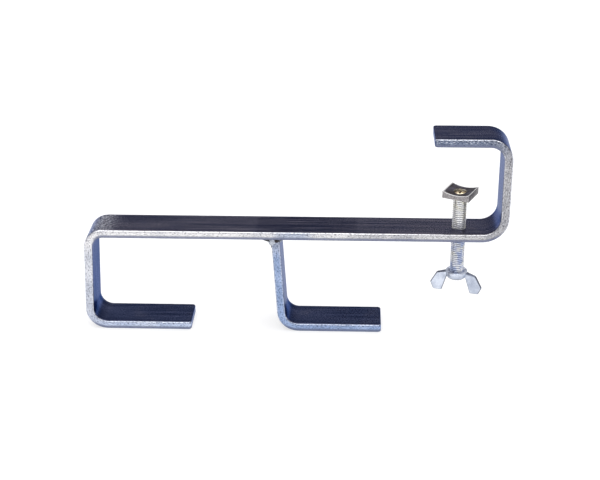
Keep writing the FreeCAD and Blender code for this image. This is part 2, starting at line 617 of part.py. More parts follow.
def build_pad_screw():
    """Dome-head screw with a cross recess; its shank goes through the bush into the rod."""
    body = new_body("pad_screw")
    outline = new_sketch(body, "pad_screw_outline", "XZ_Plane")
    head_base = size("pad_base") + size("seat_height") + size("axial_gap")
    shank_length = head_base - size("screw_top") + size("shank_depth")
    shank = size("shank_diameter") / 2
    head = size("head_diameter") / 2
    rim = size("head_rim")
    crown = size("head_height")
    rise = crown - rim
    dome = (head ** 2 + rise ** 2) / (2 * rise)
    corners = [point(0, crown), point(0, -shank_length), point(shank, -shank_length),
               point(shank, 0), point(head, 0), point(head, rim)]
    lines = [outline.addGeometry(Part.LineSegment(a, b)) for a, b in zip(corners, corners[1:])]
    axis, end, side, shoulder, edge = lines
    circle = Part.Circle(point(0, crown - dome), FreeCAD.Vector(0, 0, 1), dome)
    cap = outline.addGeometry(Part.ArcOfCircle(circle, math.pi / 2 - math.asin(head / dome), math.pi / 2))
    for line, following in zip(lines, lines[1:]):
        outline.addConstraint(Sketcher.Constraint("Coincident", line, 2, following, 1))
    outline.addConstraint(Sketcher.Constraint("Coincident", edge, 2, cap, 1))
    outline.addConstraint(Sketcher.Constraint("Coincident", cap, 2, axis, 1))
    outline.addConstraint(Sketcher.Constraint("PointOnObject", axis, 1, -2))
    outline.addConstraint(Sketcher.Constraint("PointOnObject", axis, 2, -2))
    outline.addConstraint(Sketcher.Constraint("PointOnObject", cap, 3, -2))
    outline.addConstraint(Sketcher.Constraint("PointOnObject", shoulder, 1, -1))
    for line in (end, shoulder):
        outline.addConstraint(Sketcher.Constraint("Horizontal", line))
    for line in (side, edge):
        outline.addConstraint(Sketcher.Constraint("Vertical", line))
    bind(outline, "shank_length", "sizes.pad_base + sizes.seat_height + sizes.axial_gap"
         " - sizes.screw_top + sizes.shank_depth", "DistanceY", end, 1, -1, 1, shank_length)
    bind(outline, "shank_radius", "sizes.shank_diameter / 2", "DistanceX", -1, 1, side, 1, shank)
    bind(outline, "head_radius", "sizes.head_diameter / 2", "DistanceX", -1, 1, edge, 1, head)
    bind(outline, "rim", "sizes.head_rim", "DistanceY", edge, 1, edge, 2, rim)
    bind(outline, "crown", "sizes.head_height", "DistanceY", -1, 1, axis, 1, crown)
    doc.recompute()
    revolve(body, outline, "turned_blank")
    slot = new_sketch(body, "recess_outline", "XY_Plane", "sizes.head_height - sizes.recess_depth")
    reach = size("recess_length") / 2
    half_width = size("recess_width") / 2
    sides = add_polygon(slot, [point(-reach, -half_width), point(reach, -half_width),
                               point(reach, half_width), point(-reach, half_width)])
    for line in (sides[0], sides[2]):
        slot.addConstraint(Sketcher.Constraint("Horizontal", line))
    for line in (sides[1], sides[3]):
        slot.addConstraint(Sketcher.Constraint("Vertical", line))
    slot.addConstraint(Sketcher.Constraint("Symmetric", sides[0], 1, sides[1], 2, -1, 1))
    bind(slot, "length", "sizes.recess_length", "DistanceX", sides[0], 1, sides[0], 2, 2 * reach)
    bind(slot, "width", "sizes.recess_width", "DistanceY", sides[1], 1, sides[1], 2, 2 * half_width)
    doc.recompute()
    first_slot = pocket(body, slot, "recess_slot", "sizes.head_height", upward=True)
    cross = body.newObject("PartDesign::PolarPattern", "cross_recess")
    cross.Originals = [first_slot]
    cross.Axis = (slot, ["N_Axis"])
    cross.Angle = 90.0
    cross.Occurrences = 2
    body.Tip = cross
    doc.recompute()
    place_on_screw(body, "sizes.pad_base + sizes.seat_height + sizes.axial_gap", "sizes.pad_turn")
    return body


# ---------------------------------------------------------------- checks and export

def check_document():
    """Stops if any object of the document has failed."""
    for item in doc.Objects:
        if "Invalid" in item.State or "Error" in item.State:
            raise RuntimeError(f"{item.Name} is in state {item.State}")


def export_parts(bodies):
    """Writes each sub-part's shape to its own STEP file."""
    os.makedirs("parts", exist_ok=True)
    for body in bodies:
        shape = body.Shape
        if shape.isNull() or not shape.isValid() or not shape.Solids:
            raise RuntimeError(f"{body.Label} has no valid solid")
        shape.exportStep(f"parts/{body.Label}.step")
        box = shape.BoundBox
        print(f"{body.Label}: {shape.Volume:.0f} mm3, {len(shape.Solids)} solid,"
              f" x {box.XMin:.2f}..{box.XMax:.2f}, y {box.YMin:.2f}..{box.YMax:.2f},"
              f" z {box.ZMin:.2f}..{box.ZMax:.2f}")


fill_sheet()
left_face = "-sizes.hook_face"
right_face = "sizes.bar_thickness / cos(sizes.hook_lean * 1 deg) - sizes.hook_face"
sub_parts = [
    build_main_bar(),
    build_centre_hook(),
    build_weld("weld_bead_left", -1, "large_weld_leg", left_face),
    build_weld("weld_bead_right", 1, "small_weld_leg", right_face),
    build_clamp_screw(),
    build_wing_nut(),
    build_wing_lock(),
    build_pressure_pad(),
    build_swivel_bush(),
    build_pad_screw(),
]
doc.recompute()
check_document()
export_parts(sub_parts)
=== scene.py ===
"""Looks of a clamp-on double hook of bent flat bar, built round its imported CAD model.

Sizes in the classes are millimetres. Meshes are written in metres, in the CAD model's frame:
X along the main bar towards the clamp, Y away from the viewer, Z up from the arms' undersides.
"""

import logging
import math
from dataclasses import dataclass, field
from enum import Enum
from typing import Optional, Sequence, Union

import bpy
import numpy as np
from mathutils import Matrix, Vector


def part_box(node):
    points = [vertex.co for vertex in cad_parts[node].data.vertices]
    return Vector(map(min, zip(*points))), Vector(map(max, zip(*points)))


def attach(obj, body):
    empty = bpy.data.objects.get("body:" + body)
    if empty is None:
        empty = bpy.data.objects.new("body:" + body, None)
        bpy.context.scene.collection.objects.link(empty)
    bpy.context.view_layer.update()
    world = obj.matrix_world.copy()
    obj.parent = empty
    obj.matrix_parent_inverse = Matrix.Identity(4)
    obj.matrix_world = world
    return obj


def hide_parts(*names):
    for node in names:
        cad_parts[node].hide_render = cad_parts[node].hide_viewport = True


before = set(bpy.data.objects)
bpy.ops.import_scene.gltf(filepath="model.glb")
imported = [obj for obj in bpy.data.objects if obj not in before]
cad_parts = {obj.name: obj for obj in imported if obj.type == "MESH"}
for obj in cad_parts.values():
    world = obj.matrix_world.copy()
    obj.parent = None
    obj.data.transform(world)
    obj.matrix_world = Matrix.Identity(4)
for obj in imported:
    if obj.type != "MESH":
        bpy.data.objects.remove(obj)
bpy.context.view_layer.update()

MM = 0.001
TURN = 2 * math.pi
SHARP_ANGLE = math.radians(38.0)
NOISE_LOW, NOISE_HIGH = 0.3, 0.7  # fractal noise seldom leaves this range
LOG = logging.getLogger("double_hook")

Colour = tuple[float, float, float]
Socket = bpy.types.NodeSocket
Value = Union[Socket, float, Sequence[float]]


class Side(Enum):
    """Face of the centre hook that a weld runs along."""

    LEFT = -1
    RIGHT = 1


class Body(Enum):
    """Bodies of the CAD model that pieces ride on."""

    FRAME = "frame"
    CARRIAGE = "carriage"
    SCREW = "screw"
    PAD = "pad"


# ------------------------------------------------------------------------------ surfaces

@dataclass
class Shell:
    """One closed surface with the values that its material reads.

    Attributes:
        points: (n, 3) places in millimetres.
        faces: index arrays, each (m, 3) or (m, 4).
        marks: name to (n,) value per point.
        run: (n, 2) lengthwise and crosswise place on the surface, in millimetres, if it has one.
        girth: length of the crosswise loop that run's second value goes round.
    """

    points: np.ndarray
    faces: list[np.ndarray]
    marks: dict[str, np.ndarray]
    run: Optional[np.ndarray] = None
    girth: float = 0.0

    def enclosed(self) -> float:
        """Signed volume: a sixth of the sum of a . (b x c) over the triangles of every face.

        Returns:
            Cubic millimetres, negative if the faces point inwards.
        """
        total = 0.0
        for block in self.faces:
            for k in range(1, block.shape[1] - 1):
                a, b, c = (self.points[block[:, m]] for m in (0, k, k + 1))
                total += float(np.einsum("ij,ij->", a, np.cross(b, c))) / 6
        return total

    def outward(self) -> "Shell":
        """Turns the faces round if the surface encloses a negative volume.

        Returns:
            The same shell.
        """
        if self.enclosed() < 0:
            self.faces = [block[:, ::-1] for block in self.faces]
        return self

    def placed(self, axis: np.ndarray, height: float = 0.0, turn: float = 0.0) -> "Shell":
        """Turns the surface about the upright axis, then moves it onto another one.

        Args:
            axis: point of the new axis at height 0.
            height: how far the surface is raised.
            turn: angle in degrees, anticlockwise from above.

        Returns:
            The same shell: x cos a - y sin a and x sin a + y cos a, shifted.
        """
        cosine, sine = math.cos(math.radians(turn)), math.sin(math.radians(turn))
        spin = np.array([[cosine, sine, 0], [-sine, cosine, 0], [0, 0, 1]])
        self.points = self.points @ spin + (axis + axis_point(height))
        return self

    def corner_run(self) -> np.ndarray:
        """run at every face corner, with the crosswise value carried on past the loop's seam.

        Returns:
            (k, 2) values in the order of the faces' corners.
        """
        parts = []
        for block in self.faces:
            uv = self.run[block].copy()
            across = uv[..., 1]
            seam = np.ptp(across, axis=1, keepdims=True) > self.girth / 2
            across[seam & (across < self.girth / 2)] += self.girth
            parts.append(uv.reshape(-1, 2))
        return np.concatenate(parts)


def ring_faces(rings: int, around: int, closed: bool = False) -> np.ndarray:
    """Quads between neighbouring rings of a surface that is closed round each ring.

    Args:
        rings: number of rings.
        around: number of points in each ring.
        closed: whether the last ring joins the first.

    Returns:
        (m, 4) point indices, ring by ring.
    """
    ring = np.arange(rings if closed else rings - 1)[:, None]
    spot = np.arange(around)[None, :]
    beside = (spot + 1) % around
    beyond = (ring + 1) % rings
    corners = (ring * around + spot, ring * around + beside,
               beyond * around + beside, beyond * around + spot)
    return np.stack(corners, axis=-1).reshape(-1, 4)


def fan(ring: np.ndarray, pole: int) -> np.ndarray:
    """Triangles from each side of a ring to one pole."""
    return np.stack([ring, np.roll(ring, -1), np.full_like(ring, pole)], axis=-1)


def axis_point(height: float) -> np.ndarray:
    """Point of the frame's upright axis at a height."""
    return np.array([0.0, 0.0, height])


def capped(rings: np.ndarray, start: np.ndarray, end: np.ndarray,
           marks: dict[str, np.ndarray]) -> Shell:
    """Surface through a stack of rings, closed by a pole at both ends.

    Args:
        rings: (n, m, 3) ring points.
        start: pole before the first ring.
        end: pole after the last ring.
        marks: name to (n, m) value per ring point; a pole takes its ring's mean.

    Returns:
        The closed shell, its faces outward.
    """
    count, around = rings.shape[:2]
    points = np.concatenate([rings.reshape(-1, 3), start[None], end[None]])
    last = count * around
    faces = [ring_faces(count, around), fan(np.arange(around)[::-1], last),
             fan(np.arange(last - around, last), last + 1)]
    values = {name: np.concatenate([grid.ravel(), [grid[0].mean(), grid[-1].mean()]])
              for name, grid in marks.items()}
    return Shell(points, faces, values).outward()


def looped(rings: np.ndarray, marks: dict[str, np.ndarray]) -> Shell:
    """Ring-shaped surface: the last ring of the stack joins the first one.

    Args:
        rings: (n, m, 3) ring points.
        marks: name to (n, m) value per ring point.

    Returns:
        The closed shell, its faces outward.
    """
    count, around = rings.shape[:2]
    values = {name: grid.ravel() for name, grid in marks.items()}
    faces = [ring_faces(count, around, closed=True)]
    return Shell(rings.reshape(-1, 3), faces, values).outward()


def revolved(reach: np.ndarray, height: np.ndarray, around: int) -> np.ndarray:
    """Rings of a profile turned about the upright axis: (r cos a, r sin a, z) for a in a turn.

    Args:
        reach: (n,) or (n, around) distances from the axis.
        height: (n,) or (n, around) heights.
        around: points per ring.

    Returns:
        (n, around, 3) ring points.
    """
    angle = np.arange(around) * TURN / around
    reach = np.broadcast_to(reach.reshape(len(reach), -1), (len(reach), around))
    height = np.broadcast_to(height.reshape(len(height), -1), (len(height), around))
    return np.stack([reach * np.cos(angle), reach * np.sin(angle), height], axis=-1)


def ripple(*phases: np.ndarray) -> np.ndarray:
    """Smooth irregular value from -1 to 1: a mean of sines of unrelated multiples of the phases.

    Args:
        phases: arrays that spread over one another, in radians.

    Returns:
        The value, in their common shape.
    """
    mixed = sum((k + 1.0) * phase for k, phase in enumerate(phases))
    steps = ((1.0, 0.0), (1.73, 1.1), (2.91, 2.3), (4.57, 0.7))
    return sum(np.sin(rate * mixed + shift) for rate, shift in steps) / len(steps)


def smooth(value: np.ndarray, low: float, high: float) -> np.ndarray:
    """Smooth step: t squared times (3 - 2 t), where t runs from 0 at low to 1 at high."""
    t = np.clip((value - low) / (high - low), 0.0, 1.0)
    return t * t * (3 - 2 * t)


def quarter(count: int) -> tuple[np.ndarray, np.ndarray]:
    """Sine and one minus cosine over a quarter turn, both from 0 to 1, for rounded edges."""
    angle = np.linspace(0.0, math.pi / 2, count)
    return np.sin(angle), 1 - np.cos(angle)


def extent(node: str) -> tuple[np.ndarray, np.ndarray]:
    """Lowest and highest corner of a CAD node at rest, in millimetres."""
    low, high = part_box(node)
    return np.array(low) / MM, np.array(high) / MM


def axis_of(node: str) -> np.ndarray:
    """Middle of a CAD node in plan, as a point at height 0."""
    low, high = extent(node)
    return np.array([(low[0] + high[0]) / 2, (low[1] + high[1]) / 2, 0.0])


def add_piece(name: str, shells: list[Shell], body: Body, node: str,
              material: bpy.types.Material) -> None:
    """Writes shells as one mesh object that stands for a CAD node.

    Args:
        name: name of the piece.
        shells: closed surfaces in the CAD frame, all with the same marks.
        body: CAD body that the piece rides on.
        node: CAD node that it replaces.
        material: finish of the whole piece.
    """
    starts = np.cumsum([0] + [len(shell.points) for shell in shells])
    faces = [row for shell, start in zip(shells, starts) for block in shell.faces
             for row in (block + start).tolist()]
    mesh = bpy.data.meshes.new(name)
    points = np.concatenate([shell.points for shell in shells])
    mesh.from_pydata((points * MM).tolist(), [], faces)
    for mark in shells[0].marks:
        values = np.concatenate([shell.marks[mark] for shell in shells])
        attribute = mesh.attributes.new(mark, "FLOAT", "POINT")
        attribute.data.foreach_set("value", values.astype(np.float32))
    if all(shell.run is not None for shell in shells):
        layer = mesh.uv_layers.new(name="run")
        run = np.concatenate([shell.corner_run() for shell in shells]) * MM
        layer.uv.foreach_set("vector", run.astype(np.float32).ravel())
    mesh.polygons.foreach_set("use_smooth", np.ones(len(mesh.polygons), bool))
    mesh.set_sharp_from_angle(angle=SHARP_ANGLE)
    mesh.materials.append(material)
    mesh.update()
    piece = bpy.data.objects.new(name, mesh)
    bpy.context.scene.collection.objects.link(piece)
    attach(piece, body.value)
    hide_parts(node)
    LOG.info("%s: %d points, %d faces, on %s", name, len(points), len(faces), body.value)


# ------------------------------------------------------------------------------ finishes

MARKS_OF_BAR = ("narrow", "rim", "deep", "blue_painted_light", "shade", "low", "bend", "panel")


class Paint:
    """Adds and wires the nodes of one material round a Principled shader."""

    def __init__(self, name: str, **constants: Value) -> None:
        """Starts the material; constants name the shader's own sockets, with _ for a space.

        Args:
            name: name of the material.
            constants: values of the shader's sockets.
        """
        self.material = bpy.data.materials.new(name)
        self.material.use_nodes = True
        self.tree = self.material.node_tree
        self.tree.nodes.clear()
        self.shader = self.add("ShaderNodeBsdfPrincipled")
        output = self.add("ShaderNodeOutputMaterial")
        self.tree.links.new(self.shader.outputs[0], output.inputs["Surface"])
        for socket, value in constants.items():
            self.put(self.shader.inputs[socket.replace("_", " ")], value)

    def put(self, socket: Socket, value: Value) -> None:
        """Links a socket to another one, or sets its constant.

        Args:
            socket: the input.
            value: a socket, a number, or a colour or vector.
        """
        if isinstance(value, Socket):
            self.tree.links.new(value, socket)
        elif isinstance(value, (int, float)):
            socket.default_value = value
        else:
            room = len(socket.default_value)
            socket.default_value = (tuple(value) + (1.0,))[:room]

    def add(self, kind: str, inputs: Optional[dict] = None, **settings: object) -> bpy.types.Node:
        """New node with its settings and inputs, named by socket name or number.

        Args:
            kind: Blender's name of the node.
            inputs: socket name or number to its value.
            settings: the node's own properties.

        Returns:
            The node.
        """
        node = self.tree.nodes.new(kind)
        for key, setting in settings.items():
            setattr(node, key, setting)
        for key, value in (inputs or {}).items():
            self.put(node.inputs[key], value)
        return node

    def place(self) -> Socket:
        """Object coordinates, in metres."""
        return self.add("ShaderNodeTexCoord").outputs["Object"]

    def run(self, along: float, across: float) -> Socket:
        """The piece's own lengthwise and crosswise coordinates, scaled.

        Args:
            along: factor of the lengthwise one.
            across: factor of the crosswise one.

        Returns:
            The vector.
        """
        source = self.add("ShaderNodeUVMap", uv_map="run").outputs[0]
        return self.add("ShaderNodeMapping", {
            "Vector": source, "Scale": (along, across, 1)}).outputs[0]

    def mark(self, name: str) -> Socket:
        """Value of one of the piece's point attributes."""
        return self.add("ShaderNodeAttribute", attribute_name=name).outputs["Fac"]

    def noise(self, vector: Socket, scale: float, detail: float = 4.0,
              rough: float = 0.55, bend: float = 0.0) -> Socket:
        """Fractal noise, about 0.5 on average.

        Args:
            vector: place in the pattern.
            scale: its fineness.
            detail: number of octaves.
            rough: share that each finer octave keeps.
            bend: how far it distorts itself.

        Returns:
            The value.
        """
        return self.add("ShaderNodeTexNoise", {
            "Vector": vector, "Scale": scale, "Detail": detail, "Roughness": rough,
            "Distortion": bend}).outputs["Fac"]

    def cells(self, vector: Socket, scale: float) -> Socket:
        """Distance to the nearest of scattered cell centres."""
        node = self.add("ShaderNodeTexVoronoi", {"Vector": vector, "Scale": scale})
        return node.outputs["Distance"]

    def span(self, value: Socket, low: float, high: float,
             to_low: float = 0.0, to_high: float = 1.0) -> Socket:
        """Value carried from one range to another with a smooth step, held at both ends.

        Args:
            value: the value.
            low: start of its range.
            high: end of its range.
            to_low: start of the new range.
            to_high: end of the new range.

        Returns:
            The new value.
        """
        return self.add("ShaderNodeMapRange", {
            "Value": value, "From Min": low, "From Max": high, "To Min": to_low,
            "To Max": to_high}, interpolation_type="SMOOTHSTEP").outputs["Result"]

    def spread(self, noise: Socket, low: float, high: float) -> Socket:
        """Noise carried from its usual range to another one."""
        return self.span(noise, NOISE_LOW, NOISE_HIGH, low, high)

    def calc(self, operation: str, first: Value, second: Value) -> Socket:
        """One arithmetic step, held between 0 and 1."""
        return self.add("ShaderNodeMath", {0: first, 1: second},
                        operation=operation, use_clamp=True).outputs[0]

    def drift(self, value: Socket, cloud: Socket, reach: float) -> Socket:
        """Value moved up or down by a noise, by at most a reach."""
        return self.calc("ADD", value, self.spread(cloud, -reach, reach))

    def mix(self, share: Value, first: Value, second: Value, blend: str = "MIX") -> Socket:
        """Second colour over the first one, by a share."""
        return self.add("ShaderNodeMix", {0: share, 6: first, 7: second},
                        data_type="RGBA", blend_type=blend).outputs[2]

    def toned(self, colour: Socket, share: Socket, factors: tuple[Colour, Colour]) -> Socket:
        """Colour times a factor that runs from the first to the second by a share."""
        return self.mix(1.0, colour, self.mix(share, *factors), "MULTIPLY")

    def relief(self, height: Socket, depth: float, strength: float,
               under: Optional[Socket] = None) -> Socket:
        """Surface direction bent by a height, whose full range is a depth in millimetres.

        Args:
            height: the height, from 0 to 1.
            depth: its full range.
            strength: share of the bending that shows.
            under: direction that it starts from.

        Returns:
            The direction.
        """
        inputs = {"Height": height, "Distance": depth * MM, "Strength": strength}
        if under is not None:
            inputs["Normal"] = under
        return self.add("ShaderNodeBump", inputs).outputs[0]

    def finish(self, colour: Socket, roughness: Socket, normal: Socket) -> bpy.types.Material:
        """Wires the three worked-out inputs of the shader and returns the material.

        Args:
            colour: base colour.
            roughness: roughness.
            normal: surface direction.

        Returns:
            The material.
        """
        self.put(self.shader.inputs["Base Color"], colour)
        self.put(self.shader.inputs["Roughness"], roughness)
        self.put(self.shader.inputs["Normal"], normal)
        return self.material


@dataclass(frozen=True)
class PlatedBar:
    """Zinc-plated rolled bar with a lengthwise grain: silver narrow edges, and wide faces painted
    dark blue, a painted reflection of dim surroundings.

    It reads the marks narrow (0 on a wide face, 1 on a narrow one), rim (1 on a rounded edge,
    brightened by wear and a painted highlight), deep and blue_painted_light (painted blue
    reflection on wide and on narrow faces), shade (painted shade on the narrow faces), low (1 at
    the lower edge of a level run, painted in shade), bend (1 where a bend stretched the plating),
    and panel (1 on the blank plate for a marking). A pair of colours holds the factors by which a
    pattern darkens and lightens the metal.
    """

    # Wide faces: dark blue, a painted reflection of dim surroundings; narrow edges: silver, their
    # blue a painted reflection.
    wide_clear: Colour = (0.150, 0.140, 0.158)
    wide_blue: Colour = (0.062, 0.072, 0.124)
    narrow_clear: Colour = (0.88, 0.87, 0.87)
    narrow_blue: Colour = (0.38, 0.51, 0.79)
    # Painted shade for the lower edge of level runs.
    low_edge_shade: Colour = (0.16, 0.18, 0.27)
    stretched: Colour = (0.74, 0.74, 0.76)
    # Bright silver for worn edges and flecks, a painted highlight as well.
    worn_highlight: Colour = (0.88, 0.89, 0.92)
    # graze: specular tint that turns grazing reflections blue, a painted blue reflection.
    graze: Colour = (0.34, 0.42, 0.70)
    shaded: Colour = (0.28, 0.28, 0.30)
    streaked: tuple[Colour, Colour] = ((0.66, 0.68, 0.72), (1.50, 1.47, 1.42))
    grained: tuple[Colour, Colour] = ((0.64, 0.65, 0.68), (1.52, 1.50, 1.46))
    plated: tuple[Colour, Colour] = ((0.34, 0.34, 0.38), (1.0, 1.0, 1.0))
    flecked: tuple[Colour, Colour] = ((0.28, 0.28, 0.31), (1.06, 1.06, 1.06))

    def material(self) -> bpy.types.Material:
        """Builds the material.

        Returns:
            The finished material.
        """
        paint = Paint("plated_bar", Metallic=1.0, Specular_Tint=self.graze)
        narrow, rim, deep, blue_painted_light, shade, low, bend, panel = (
            paint.mark(key) for key in MARKS_OF_BAR)
        here = paint.place()
        grain = paint.noise(paint.run(22.0, 1400.0), 1.0, 4.0, 0.7)
        streak = paint.noise(paint.run(9.0, 320.0), 1.0, 3.0, 0.65, 0.3)
        cloud = paint.noise(here, 70.0, 4.0, 0.6)
        crumb = paint.noise(paint.run(900.0, 1500.0), 1.0, 3.0, 0.7)
        fleck = paint.noise(paint.run(650.0, 1250.0), 1.0, 3.0, 0.85)
        grit = paint.noise(here, 2300.0, 2.0, 0.6)

        # Wide faces painted dark blue as a reflection, bluer by the mark deep.
        wide = paint.mix(paint.drift(deep, cloud, 0.16), self.wide_clear, self.wide_blue)
        wide = paint.toned(wide, paint.span(streak, 0.34, 0.66), self.streaked)
        wide = paint.toned(wide, paint.span(grain, 0.34, 0.66), self.grained)
        wide = paint.mix(paint.span(crumb, 0.64, 0.80, 0.0, 0.22), wide, self.narrow_blue)
        plate = paint.toned(wide, paint.span(grain, 0.42, 0.58), self.plated)
        wide = paint.mix(panel, wide, plate)

        # Narrow faces: silver, with a painted blue reflection set stretch by stretch.
        edge = paint.mix(paint.drift(blue_painted_light, cloud, 0.10), self.narrow_clear, self.narrow_blue)
        edge = paint.toned(edge, paint.span(fleck, 0.40, 0.50), self.flecked)
        # Painted shade dims the narrow faces stretch by stretch; bright flecks show more where it
        # is heavy.
        painted_shade_share = paint.drift(shade, cloud, 0.16)
        edge = paint.mix(painted_shade_share, edge, paint.mix(1.0, edge, self.shaded, "MULTIPLY"))
        glint = paint.calc("MULTIPLY", shade, paint.span(fleck, 0.54, 0.62, 0.0, 0.85))
        edge = paint.mix(glint, edge, self.worn_highlight)
        # Painted shade: a dark band along the lower edge of the level runs.
        low_edge_share = paint.span(paint.drift(low, fleck, 0.22), 0.08, 0.36, 0.0, 0.86)
        edge = paint.mix(low_edge_share, edge, self.low_edge_shade)

        peened = paint.noise(paint.run(520.0, 640.0), 1.0, 3.0, 0.8)
        burst = paint.calc("MULTIPLY", bend, paint.span(peened, 0.46, 0.55, 0.08, 1.0))
        wide = paint.mix(burst, wide, self.stretched)
        # Wide and narrow faces are one plating, told apart by these painted reflections.
        colour = paint.mix(paint.span(narrow, 0.30, 0.72), wide, edge)
        # Rounded edges brightened by wear and a painted highlight, which fades towards the lower
        # edges.
        rubbed_highlight = paint.calc("MULTIPLY", rim, paint.span(fleck, 0.38, 0.62, 0.0, 0.7))
        rubbed_highlight = paint.calc("MULTIPLY", rubbed_highlight, paint.span(low, 0.0, 0.4, 1.0, 0.1))
        colour = paint.mix(rubbed_highlight, colour, self.worn_highlight)

        dull = paint.span(narrow, 0.3, 0.7, 0.24, 0.36)
        dull = paint.calc("ADD", dull, paint.spread(grit, -0.05, 0.09))
        dull = paint.calc("ADD", dull, paint.calc("MULTIPLY", burst, 0.18))
        scored = paint.relief(grain, 0.020, 0.5)
        pitted = paint.relief(paint.noise(here, 1300.0, 3.0, 0.6), 0.16, 0.5, scored)
        normal = paint.add("ShaderNodeMix", {
            0: paint.span(narrow, 0.2, 0.8, 0.10, 1.0), 4: scored, 5: pitted},
            data_type="VECTOR").outputs[1]
        return paint.finish(colour, dull, normal)


@dataclass(frozen=True)
class PlatedWeld:
    """Plated weld metal: grey silver, blotched, with dark pores and scorched toes."""

    metal: Colour = (0.56, 0.60, 0.66)
    cloudy: Colour = (0.38, 0.40, 0.46)
    scorched: Colour = (0.045, 0.040, 0.040)

    def material(self) -> bpy.types.Material:
        """Builds the material, which reads the mark toe (1 where weld meets bar).

        Returns:
            The finished material.
        """
        paint = Paint("plated_weld", Metallic=1.0)
        here = paint.place()
        cloud = paint.noise(here, 260.0, 4.0, 0.6)
        pores = paint.cells(here, 620.0)
        colour = paint.mix(paint.span(cloud, 0.35, 0.65), self.metal, self.cloudy)
        toe = paint.calc("MULTIPLY", paint.mark("toe"), paint.span(cloud, 0.3, 0.6, 0.75, 1.0))
        colour = paint.mix(toe, colour, self.scorched)
        colour = paint.mix(paint.span(pores, 0.18, 0.08), colour, self.scorched)
        rough = paint.spread(cloud, 0.30, 0.48)
        return paint.finish(colour, rough, paint.relief(paint.noise(here, 1100.0), 0.10, 0.5))


@dataclass(frozen=True)
class PlatedThread:
    """Bright zinc on a cut thread: clean crests, roots darkened by painted shade, yellow clouds,
    and a painted blue shade below the bar.
    """

    bright: Colour = (0.98, 0.98, 0.98)
    yellowed: Colour = (0.98, 0.95, 0.80)
    # Painted shade for the thread's roots.
    root: Colour = (0.38, 0.41, 0.50)
    # Painted blue shade for the rod below the bar.
    blue_shade: Colour = (0.42, 0.50, 0.72)

    def material(self) -> bpy.types.Material:
        """Builds the material, which reads root (1 in the thread's bottom, painted in shade) and
        lower (1 below the bar, painted in blue shade).

        Returns:
            The finished material.
        """
        paint = Paint("plated_thread", Metallic=0.70)
        here = paint.place()
        cloud = paint.noise(here, 120.0, 3.0)
        blot = paint.noise(here, 210.0, 3.0, 0.6)
        fine = paint.noise(here, 1800.0, 3.0)
        colour = paint.mix(paint.span(cloud, 0.42, 0.66, 0.0, 0.9), self.bright, self.yellowed)
        blots = paint.span(blot, 0.40, 0.62, 0.15, 0.9)
        # Painted blue shade on the rod below the bar.
        blue_painted_light = paint.calc("MULTIPLY", paint.mark("lower"), blots)
        colour = paint.mix(blue_painted_light, colour, self.blue_shade)
        # Painted shade in the thread's roots.
        deep = paint.span(paint.mark("root"), 0.30, 0.95, 0.0, 0.85)
        colour = paint.mix(deep, colour, self.root)
        rough = paint.spread(fine, 0.16, 0.28)
        return paint.finish(colour, rough, paint.relief(fine, 0.03, 0.5))


@dataclass(frozen=True)
class PlatedCasting:
    """Pale, slightly blue zinc on a casting, with a fine sandy surface, rims painted dark as a
    reflection of dim surroundings, and painted shade by the mark tone.
    """

    pale: Colour = (0.74, 0.79, 0.89)
    grey: Colour = (0.50, 0.55, 0.66)
    # Painted shade, also used for the dark grains of the sand.
    shaded: Colour = (0.20, 0.24, 0.34)
    # Painted dark reflection for the wings' rims.
    outline: Colour = (0.075, 0.085, 0.13)

    def material(self) -> bpy.types.Material:
        """Builds the material, which reads edge (1 on a wing's rim, painted dark) and tone (painted
        shade).

        Returns:
            The finished material.
        """
        paint = Paint("plated_casting", Metallic=1.0)
        here = paint.place()
        cloud = paint.noise(here, 170.0, 4.0, 0.6)
        sand = paint.noise(here, 1500.0, 4.0, 0.65)
        colour = paint.mix(paint.span(cloud, 0.35, 0.72, 0.0, 0.7), self.pale, self.grey)
        # Painted shade by the mark tone: the right wing and the lower side of the hub.
        colour = paint.mix(paint.drift(paint.mark("tone"), cloud, 0.12), colour, self.shaded)
        colour = paint.mix(paint.span(sand, 0.60, 0.76, 0.0, 0.4), colour, self.shaded)
        # Painted dark reflection along the wings' rims.
        rim = paint.span(paint.mark("edge"), 0.15, 0.7, 0.0, 0.9)
        colour = paint.mix(rim, colour, self.outline)
        rough = paint.spread(sand, 0.24, 0.40)
        return paint.finish(colour, rough, paint.relief(sand, 0.10, 0.45))


@dataclass(frozen=True)
class PadSteel:
    """Dull brownish-grey steel, speckled, with a brushed hollow painted dark as a reflection of dim
    surroundings, and upper edges bright with wear and a painted highlight.
    """

    body: Colour = (0.40, 0.38, 0.38)
    dark: Colour = (0.12, 0.11, 0.12)
    rubbed_highlight: Colour = (0.93, 0.92, 0.90)
    # Hollow colours: darker than the sides, a painted reflection of dim surroundings.
    hollow: Colour = (0.060, 0.050, 0.052)
    brushed: Colour = (0.120, 0.112, 0.140)

    def material(self) -> bpy.types.Material:
        """Builds the material, which reads hollow (painted dark) and rim (1 on the upper edges,
        painted as a highlight).

        Returns:
            The finished material.
        """
        paint = Paint("pad_steel", Metallic=1.0)
        here = paint.place()
        sand = paint.noise(here, 1400.0, 4.0, 0.65)
        cloud = paint.noise(here, 150.0, 3.0)
        colour = paint.mix(paint.span(sand, 0.42, 0.66, 0.0, 0.8), self.body, self.dark)
        # The upturned hollow is painted dark, a painted reflection of dim surroundings.
        hollow = paint.mix(paint.span(cloud, 0.4, 0.7), self.hollow, self.brushed)
        colour = paint.mix(paint.mark("hollow"), colour, hollow)
        # Upper edges: wear and a painted highlight, brighter and less metallic so they stay bright
        # under any light.
        rim = paint.mark("rim")
        colour = paint.mix(rim, colour, self.rubbed_highlight)
        paint.put(paint.shader.inputs["Metallic"], paint.span(rim, 0.0, 1.0, 1.0, 0.3))
        rough = paint.spread(sand, 0.34, 0.52)
        return paint.finish(colour, rough, paint.relief(sand, 0.10, 0.5))


